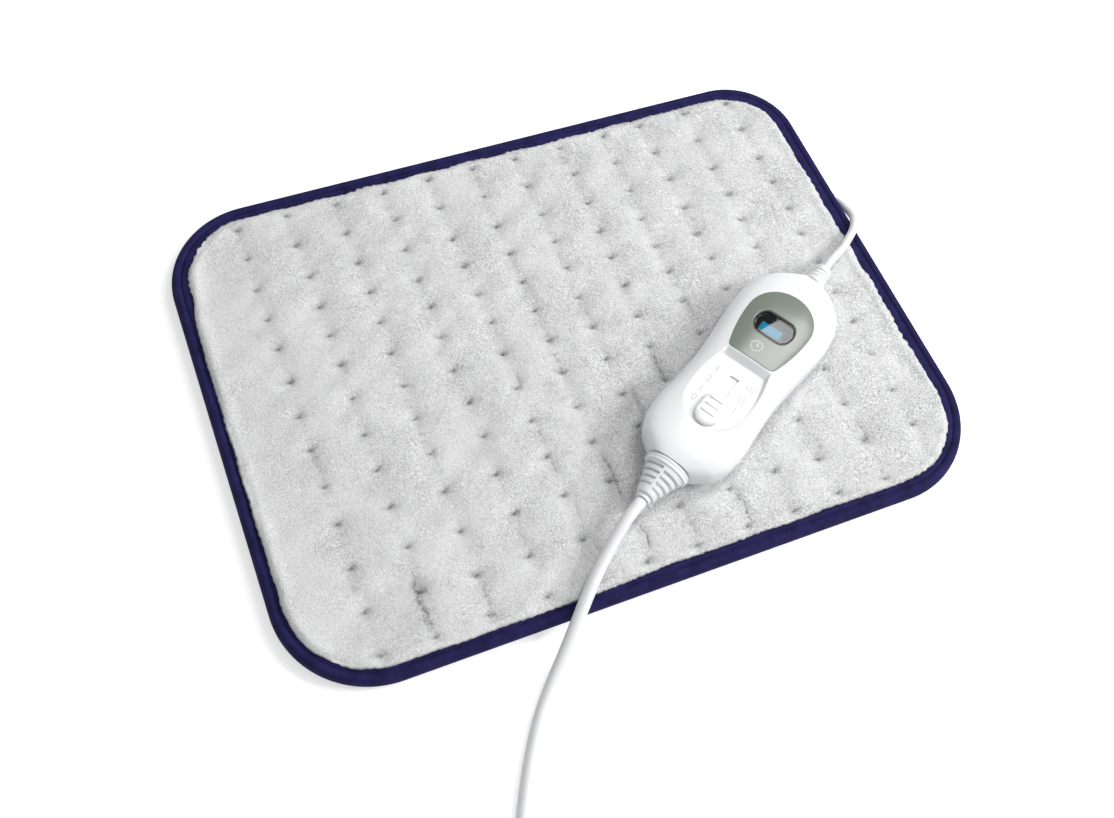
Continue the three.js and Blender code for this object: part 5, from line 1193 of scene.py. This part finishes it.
def sewnCloth(cover, sewn):
    # Cloth with a little pressure between the sewn places, its result kept in the mesh
    pickOnly(cover)
    cover.vertex_groups.new(name="sewn").add([int(v) for v in sewn], 1.0, "REPLACE")
    cloth = cover.modifiers.new("cloth", "CLOTH")
    for key, value in clothSettings.items():
        setattr(cloth.settings, key, value)
    cloth.settings.effector_weights.gravity = 0
    cloth.collision_settings.use_self_collision = False
    for step in range(1, clothSteps + 1):
        bpy.context.scene.frame_set(step)
    bpy.ops.object.modifier_apply(modifier=cloth.name)
    cover.vertex_groups.clear()


def nearestTuft(x, y):
    # each place's offset from its nearest tuft, with that tuft's size and tilt
    best, which = np.full(len(x), 1e9), np.zeros(len(x), int)
    for n, (tx, ty) in enumerate(tufts[:, :2]):
        d = np.hypot(x - tx, y - ty)
        closer = d < best
        best[closer], which[closer] = d[closer], n
    tx, ty, size, tilt = tufts[which].T
    return x - tx, y - ty, size, tilt


def foldDistance(x, y):
    # how strongly each place lies on a fold, how many half widths beside it, and that half width
    strength, beside, width = np.zeros(len(x)), np.full(len(x), 9.0), np.ones(len(x))
    for fx, top, bottom, strong, half, bow in folds:
        t = np.clip((top - y) / (top - bottom), 0, 1)
        middle = fx + bow * np.sin(math.pi * t) + 0.35 * wave(x * 0, y, int(fx * 3 + top), 7)
        power = strong * fade(np.minimum(t, 1 - t) / 0.25) * (np.abs(x - middle) < 14)
        better = power > strength
        strength[better], width[better] = power[better], half
        beside[better] = ((x - middle) / half)[better]
    return strength, beside, width


def columnSide(x, y):
    # the offset from the nearest column of tufts
    sides = np.stack([x - (column - columnDraw(column, y)) for column in quilt["columns"]])
    return sides[np.abs(sides).argmin(0), np.arange(len(x))]


def quiltShape(places):
    x, y, z = places.T
    inset = padInset(x, y)
    beyond = inset - fleeceInset(x, y)
    soft = fade(beyond / 5)
    z = z + soft * quilt["calm"] * (quilt["level"] - z)
    z += soft * sum(high * wave(x, y, seed, scale) for high, seed, scale in quilt["waves"])
    dx, dy, size, _ = nearestTuft(x, y)
    z -= soft * size * sum(deep * np.exp(-(dx / wide) ** 2 - (dy / long) ** 2)
                           for deep, wide, long in quilt["dents"])
    power, beside, width = foldDistance(x, y)
    z -= soft * power * sum(deep * np.exp(-(beside * width / wide) ** 2) for deep, wide in quilt["creases"])
    # each column of tufts draws a shallow valley down the pad
    deep, wide = quilt["valley"]
    z -= soft * deep * np.exp(-(columnSide(x, y) / wide) ** 2)
    # the plush rises in a roll beside the binding
    high, middle, wide = quilt["roll"]
    z += high * np.exp(-((beyond - middle) / wide) ** 2)
    z = np.minimum(z, quilt["pressed"] + besideController(x, y) * 0.35)
    z = np.maximum(z, quilt["lowest"] + 1.6 * fade((16 - inset) / 3))
    z = quilt["edge"] + (z - quilt["edge"]) * fade((beyond + 0.6) / 2.4)
    # locks of pile stand out past the edge by different lengths
    fringe = (0.22 + 0.28 * fade((inset - 8) / 2)) * fade(1 - beyond / 2.5) * wave(x, y, 5, 3.6)
    out = 1 + fringe / np.hypot(x, y)
    return np.column_stack([x * out, y * out, z])


def tuckUnder(cover):
    # the rim is tucked under and closed below
    count = len(cover.data.vertices)

    def tuck(places):
        angle = np.arctan2(places[count:, 1], places[count:, 0])
        r = outlineReach(angle, np.full(len(angle), quilt["tucked"]))
        places[count:] = level(np.stack([r * np.cos(angle), r * np.sin(angle)], 1), quilt["tuckLevel"])
        return places

    pickOnly(cover)
    bpy.ops.object.mode_set(mode="EDIT")
    bpy.ops.mesh.select_mode(type="EDGE")
    bpy.ops.mesh.select_all(action="DESELECT")
    bpy.ops.mesh.select_non_manifold(extend=False)
    bpy.ops.mesh.extrude_edges_move(TRANSFORM_OT_translate={"value": (0, 0, 0)})
    bpy.ops.object.mode_set(mode="OBJECT")
    movePlaces(cover, tuck)
    bpy.ops.object.mode_set(mode="EDIT")
    bpy.ops.mesh.select_all(action="DESELECT")
    bpy.ops.mesh.select_non_manifold(extend=False)
    bpy.ops.mesh.extrude_edges_move(TRANSFORM_OT_translate={"value": (0, 0, -quilt["tuckDrop"] * mm)})
    bpy.ops.mesh.edge_face_add()
    bpy.ops.object.mode_set(mode="OBJECT")
    outwardNormals(cover)


def markSewing(cover, x, y):
    # where each place lies beside its tuft, its fold and its column, for the painted shade in the material
    dx, dy, size, tilt = nearestTuft(x, y)
    power, beside, _ = foldDistance(x, y)
    values = {
        "tuft_side": (dx * np.cos(tilt) + dy * np.sin(tilt)) / size,
        "tuft_along": (dy * np.cos(tilt) - dx * np.sin(tilt)) / size,
        "fold": power, "fold_side": beside, "column_side": columnSide(x, y),
    }
    for key, seen in values.items():
        column = np.full(len(cover.data.vertices), 0.0 if key == "fold" else 9.0, np.float32)
        column[:len(seen)] = seen
        cover.data.attributes.new(key, "FLOAT", "POINT").data.foreach_set("value", column)


def buildQuilt(name):
    x, y, size, rim = padGrid(quilt["cell"], fleeceInset)
    z = np.where(rim, quilt["edge"], quilt["flat"])
    sewn = set(np.flatnonzero(rim))
    for tx, ty in tufts[:, :2]:
        v = int(np.argmin(np.hypot(x - tx, y - ty)))
        x[v], y[v], z[v] = tx, ty, quilt["tuft"]
        sewn.add(v)
    cover = sheetPiece(name, x, y, z, size)

    def settle(places):
        dx, dy, dz = (places - np.column_stack([x, y, z])).T
        return np.column_stack([x + np.clip(dx, -1.5, 1.5), y + np.clip(dy, -1.5, 1.5),
                                np.clip(z + dz, 7.8, quilt["crown"] + 0.4)])

    sewnCloth(cover, sorted(sewn))
    movePlaces(cover, settle)
    applyModifier(cover, "SUBSURF", levels=2, render_levels=2, boundary_smooth="ALL")
    movePlaces(cover, quiltShape)
    seenX, seenY, _ = meshPlaces(cover).T
    tuckUnder(cover)
    markSewing(cover, seenX, seenY)
    return cover


fleeceLook = {"Grain": 3.2, "Curl": 0.68, "Strength": 0.8, "Depth": 0.0003, "Contrast": 0.5}
fleeceTone = (0.665, 0.665, 0.67, 1)


def curls(tree, stretch, turn):
    # bright lines where a swirling field passes its middle: single strands seen from above
    place = addNode(tree, "Mapping", {"Vector": objectPlace(tree), "Rotation": (0, 0, math.radians(turn)),
                                      "Scale": stretch}).outputs["Vector"]
    field = combine(tree, "SUBTRACT", noise(tree, 700, 1.0, 0.5, 1.2, place), 0.5)
    return spread(tree, combine(tree, "ABSOLUTE", field, 0), 0.0, 0.1, 0.95, -0.42)


def buildPile():
    # short plush: fine grain, and curled strands that lie in drifting patches
    tree, given, out = newGroup("plush_pile", fleeceLook, {"Shade": "Float", "Normal": "Vector"})
    patches = spread(tree, noise(tree, 60), 0.44, 0.56, 0.0, 1.0)
    strands = addNode(tree, "Mix", {"Factor": patches, 2: curls(tree, (0.7, 1.25, 1), 25),
                                    3: curls(tree, (1.3, 0.7, 1), 10)}, data_type="FLOAT").outputs[0]
    grain = centred(tree, noise(tree, 950, 2, 0.7), given["Grain"])
    texture = combine(tree, "ADD", grain, combine(tree, "MULTIPLY", strands, given["Curl"]))
    # the pile is combed smoother towards the left
    split = addNode(tree, "SeparateXYZ", {"Vector": objectPlace(tree)})
    across = spread(tree, split.outputs["X"], -0.19, 0.14, 0.5, 0.95)
    drift = spread(tree, noise(tree, 38, 3, 0.6), 0.36, 0.64, 0.6, 1.3)
    texture = combine(tree, "MULTIPLY", texture, across, drift)
    shade = combine(tree, "ADD", combine(tree, "MULTIPLY", texture, given["Contrast"]), 1.0)
    shade = combine(tree, "MULTIPLY", shade, spread(tree, noise(tree, 22), 0.3, 0.7, 0.965, 1.03))
    feed(tree, out, {"Shade": shade, "Normal": raised(tree, texture, given["Strength"], given["Depth"])})
    return tree


plushPile = buildPile()


def paintedSewingShade(tree, shade):
    # painted shade where the thread pulls the pile down: a dark curl with a bright lock in it, and a smudge
    # up its left; painted shade along the folds, a painted shadow beside each fold, and faint painted shade
    # down the valley of each column
    tuftSide, tuftAlong, fold, foldSide, columnSides = (
        addNode(tree, "Attribute", attribute_name=name).outputs["Fac"]
        for name in ("tuft_side", "tuft_along", "fold", "fold_side", "column_side"))
    ragged = centred(tree, noise(tree, 700, 3, 0.75), 3.2)
    side = combine(tree, "ADD", tuftSide, ragged)
    along = combine(tree, "ADD", tuftAlong, centred(tree, noise(tree, 820, 2, 0.7), 2.4))
    beside = combine(tree, "ADD", foldSide, combine(tree, "MULTIPLY", ragged, 0.55))
    broken = spread(tree, noise(tree, 360, 2, 0.6), 0.4, 0.56, 0.15, 1.0)
    # each mark darkens the pile by its depth: the tuft's curl and smudge, the fold's crease and the shadow
    # beside it, and the column's valley are painted shade; the bright lock has a negative depth and lightens
    paintedShadeMarks = (
        (0.62, bell(tree, side, 1.9), bell(tree, along, 0.95)),
        (0.24, bell(tree, side, 3.0, -2.2), bell(tree, along, 1.9, 0.9)),
        (-0.5, bell(tree, side, 0.7, 0.9), bell(tree, along, 0.35, -0.25)),
        (0.6, bell(tree, beside, 0.9), fold, broken),
        (0.18, bell(tree, beside, 3.2, -1.6), fold),
        (0.08, bell(tree, columnSides, 2.6), broken),
    )
    for depth, first, *others in paintedShadeMarks:
        keep = combine(tree, "SUBTRACT", 1.0, combine(tree, "MULTIPLY", first, *others, depth))
        shade = combine(tree, "MULTIPLY", shade, keep)
    return shade


def fleeceFinish(name, sewn):
    material, tree, shader = newMaterial(name)
    pile = addNode(tree, "Group", fleeceLook, node_tree=plushPile).outputs
    shade = paintedSewingShade(tree, pile["Shade"]) if sewn else pile["Shade"]
    grey = addNode(tree, "CombineXYZ", {k: shade for k in range(3)}).outputs["Vector"]
    tone = addNode(tree, "Mix", {"Factor": 1.0, 6: fleeceTone, 7: grey},
                   data_type="RGBA", blend_type="MULTIPLY")
    feed(tree, shader, {"Base Color": tone.outputs[2], "Normal": pile["Normal"], "Roughness": 0.95,
                        "Sheen Weight": 0.12, "Sheen Roughness": 0.5, "Specular IOR Level": 0.1})
    return material


fleeceTop = buildQuilt("fleece_top")
fleeceTop.data.materials.append(fleeceFinish("fleece_grey", True))
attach(fleeceTop, padBody)
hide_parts("pad_top_cover")

# loose fibre wadding between the covers: (name, CAD node, lowest, highest)
waddings = (("wadding_lower", "pad_lower_wadding", 1.7, 2.5), ("wire_carrier", "pad_wire_carrier", 2.8, 3.4),
            ("wadding_upper", "pad_upper_wadding", 5.6, 6.6))
waddingLoft = 0.15


def buildWadding(name, low, high, seed):
    x, y, size, _ = padGrid(3.4, 12.7)
    z = high - waddingLoft + np.clip(0.12 * wave(x, y, seed, 14), -waddingLoft, waddingLoft)
    piece = sheetPiece(name, x, y, z, size)
    applyModifier(piece, "SOLIDIFY", thickness=(high - low - 2 * waddingLoft) * mm, offset=-1)
    return piece


def fibreFinish(name):
    material, tree, shader = newMaterial(name)
    mottle = addGrain(tree, {"Scale": 500.0, "Detail": 5.0, "Distortion": 1.5})["Mottle"]
    tone = mixedColour(tree, mottle, (0.0, (0.6, 0.6, 0.58)), (1.0, (0.88, 0.88, 0.86)))
    feed(tree, shader, {"Base Color": tone, "Roughness": 1.0})
    return material


fibre = fibreFinish("wadding_fibre")
for seed, (name, node, low, high) in enumerate(waddings, 50):
    wadding = buildWadding(name, low, high, seed)
    wadding.data.materials.append(fibre)
    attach(wadding, padBody)
    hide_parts(node)

underCover = {
    "cell": 2.6, "inset": 9.3, "low": 0.1, "rim": 0.5, "dent": 0.9, "dentWidth": 4.0, "loft": 0.12,
    "thick": 0.4,
}


def buildUnderCover(cover):
    x, y, size, rim = padGrid(cover["cell"], cover["inset"])
    z = cover["low"] + cover["loft"] * (1 + wave(x, y, 21, 22)) * 0.5
    for tx, ty in tufts[:, :2]:
        z += cover["dent"] * np.exp(-(np.hypot(x - tx, y - ty) / cover["dentWidth"]) ** 2)
    piece = sheetPiece("fleece_under", x, y, np.where(rim, cover["rim"], z), size, up=False)
    applyModifier(piece, "SOLIDIFY", thickness=cover["thick"] * mm, offset=-1)
    return piece


under = buildUnderCover(underCover)
under.data.materials.append(fleeceFinish("fleece_back", False))
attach(under, padBody)
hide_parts("pad_bottom_cover")
print("fleece quilted")

# finishes of the pieces that keep their solid: dark and light tone, scale, roughness, metallic and the pieces
finishes = {
    "black_plastic": ((0.012, 0.012, 0.013), (0.02, 0.02, 0.021), 600, 0.45, 0.0, (
        "slide_switch_lever", "slide_switch_case", "power_triac", "control_chip", "smoothing_capacitor",
        "coil_tie", "pin_sleeve_1", "pin_sleeve_2", "thermal_cutout_1", "thermal_cutout_2")),
    "steel": ((0.5, 0.5, 0.5), (0.62, 0.62, 0.61), 900, 0.3, 1.0, [
        f"{kind}_screw_{k}" for kind in ("housing", "clamp") for k in range(1, 5)]),
    "nickel": ((0.66, 0.64, 0.6), (0.72, 0.7, 0.66), 300, 0.18, 1.0, ("plug_pin_1", "plug_pin_2")),
    "board_green": ((0.01, 0.08, 0.03), (0.02, 0.13, 0.05), 250, 0.4, 0.0, ("circuit_board",)),
    "amber_plastic": ((0.42, 0.2, 0.02), (0.55, 0.28, 0.04), 200, 0.35, 0.0, ("film_capacitor",)),
    "ceramic_green": ((0.03, 0.16, 0.09), (0.05, 0.2, 0.12), 300, 0.5, 0.0, (
        "mains_terminal", "pad_terminal", "fuse_holder")),
    "fuse_glass": ((0.6, 0.62, 0.62), (0.75, 0.78, 0.78), 120, 0.1, 0.0, ("mains_fuse",)),
    "inner_white": ((0.62, 0.62, 0.6), (0.74, 0.74, 0.72), 400, 0.5, 0.0, (
        "display_light_box", "mains_lead_clamp", "pad_lead_clamp", "terminal_box")),
    "inner_lead": ((0.7, 0.7, 0.7), (0.8, 0.8, 0.8), 700, 0.45, 0.0, (
        "mains_lead_tail", "pad_lead_tail", "pad_lead_inner", "plug_body")),
    "core_brown": ((0.09, 0.03, 0.012), (0.13, 0.05, 0.02), 700, 0.4, 0.0, (
        "mains_core_1", "mains_core_2", "pad_core_1", "pad_core_2", "pad_core_3")),
    "silicone_wire": ((0.5, 0.04, 0.03), (0.62, 0.07, 0.05), 700, 0.5, 0.0, ("heating_wire",)),
}
for name, (*look, nodes) in finishes.items():
    material = mottledFinish(name, *look)
    for node in nodes:
        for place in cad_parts[node].material_slots:
            place.link = "OBJECT"
            place.material = material
print("finishes given")

# stage: a white floor that glows for the camera as the even world does, and soft lamps
stage = {"size": 60, "drop": 0.0002, "glow": 0.42}
bpy.ops.mesh.primitive_plane_add(size=stage["size"], location=(0, 0, -stage["drop"]))
floor = bpy.context.object
floor.name = "floor"
floorWhite, tree, shader = newMaterial("floor_white")
rays = addNode(tree, "LightPath").outputs
seen = combine(tree, "MAXIMUM", rays["Is Camera Ray"], rays["Is Glossy Ray"], rays["Is Transmission Ray"])
feed(tree, shader, {"Base Color": (0.88, 0.88, 0.88, 1), "Roughness": 0.9, "Specular IOR Level": 0.0,
                    "Emission Color": (1, 1, 1, 1),
                    "Emission Strength": combine(tree, "MULTIPLY", seen, stage["glow"])})
floor.data.materials.append(floorWhite)

world = bpy.data.worlds.new("studio")
bpy.context.scene.world = world
world.use_nodes = True
feed(world.node_tree, world.node_tree.nodes["Background"], {"Color": (1, 1, 1, 1), "Strength": stage["glow"]})

# the main softbox hangs where its lower left edge is mirrored across the display window
lamps = {
    "softbox": {"place": (0.5502, 0.1742, 0.8747), "away": (0.4238, 0.3935, 0.8158),
                "edge": (0.9394, 0.1214, -0.3205), "size": (0.42, 0.36), "power": 4.5},
    "side": {"place": (1.84, -0.72, 1.24), "away": (0.79, -0.31, 0.53), "edge": (0, 0, 1), "size": (0.8, 0.8),
             "power": 38.0},
    "fill": {"place": (-0.75, -0.98, 0.86), "away": (-0.5, -0.65, 0.57), "edge": (0, 0, 1),
             "size": (1.2, 1.2), "power": 3.2},
}


def addLamp(name, settings):
    lamp = bpy.data.lights.new(name, "AREA")
    lamp.shape = "RECTANGLE"
    lamp.size, lamp.size_y = settings["size"]
    lamp.energy = settings["power"]
    away, edge = Vector(settings["away"]).normalized(), Vector(settings["edge"])
    edge = (edge - away * edge.dot(away)).normalized()
    turned = Matrix((edge, away.cross(edge), away)).transposed()
    linkPiece(name, lamp).matrix_world = Matrix.Translation(settings["place"]) @ turned.to_4x4()


for name, settings in lamps.items():
    addLamp(name, settings)
print("stage lit")

bpy.context.scene.view_settings.view_transform = "Standard"
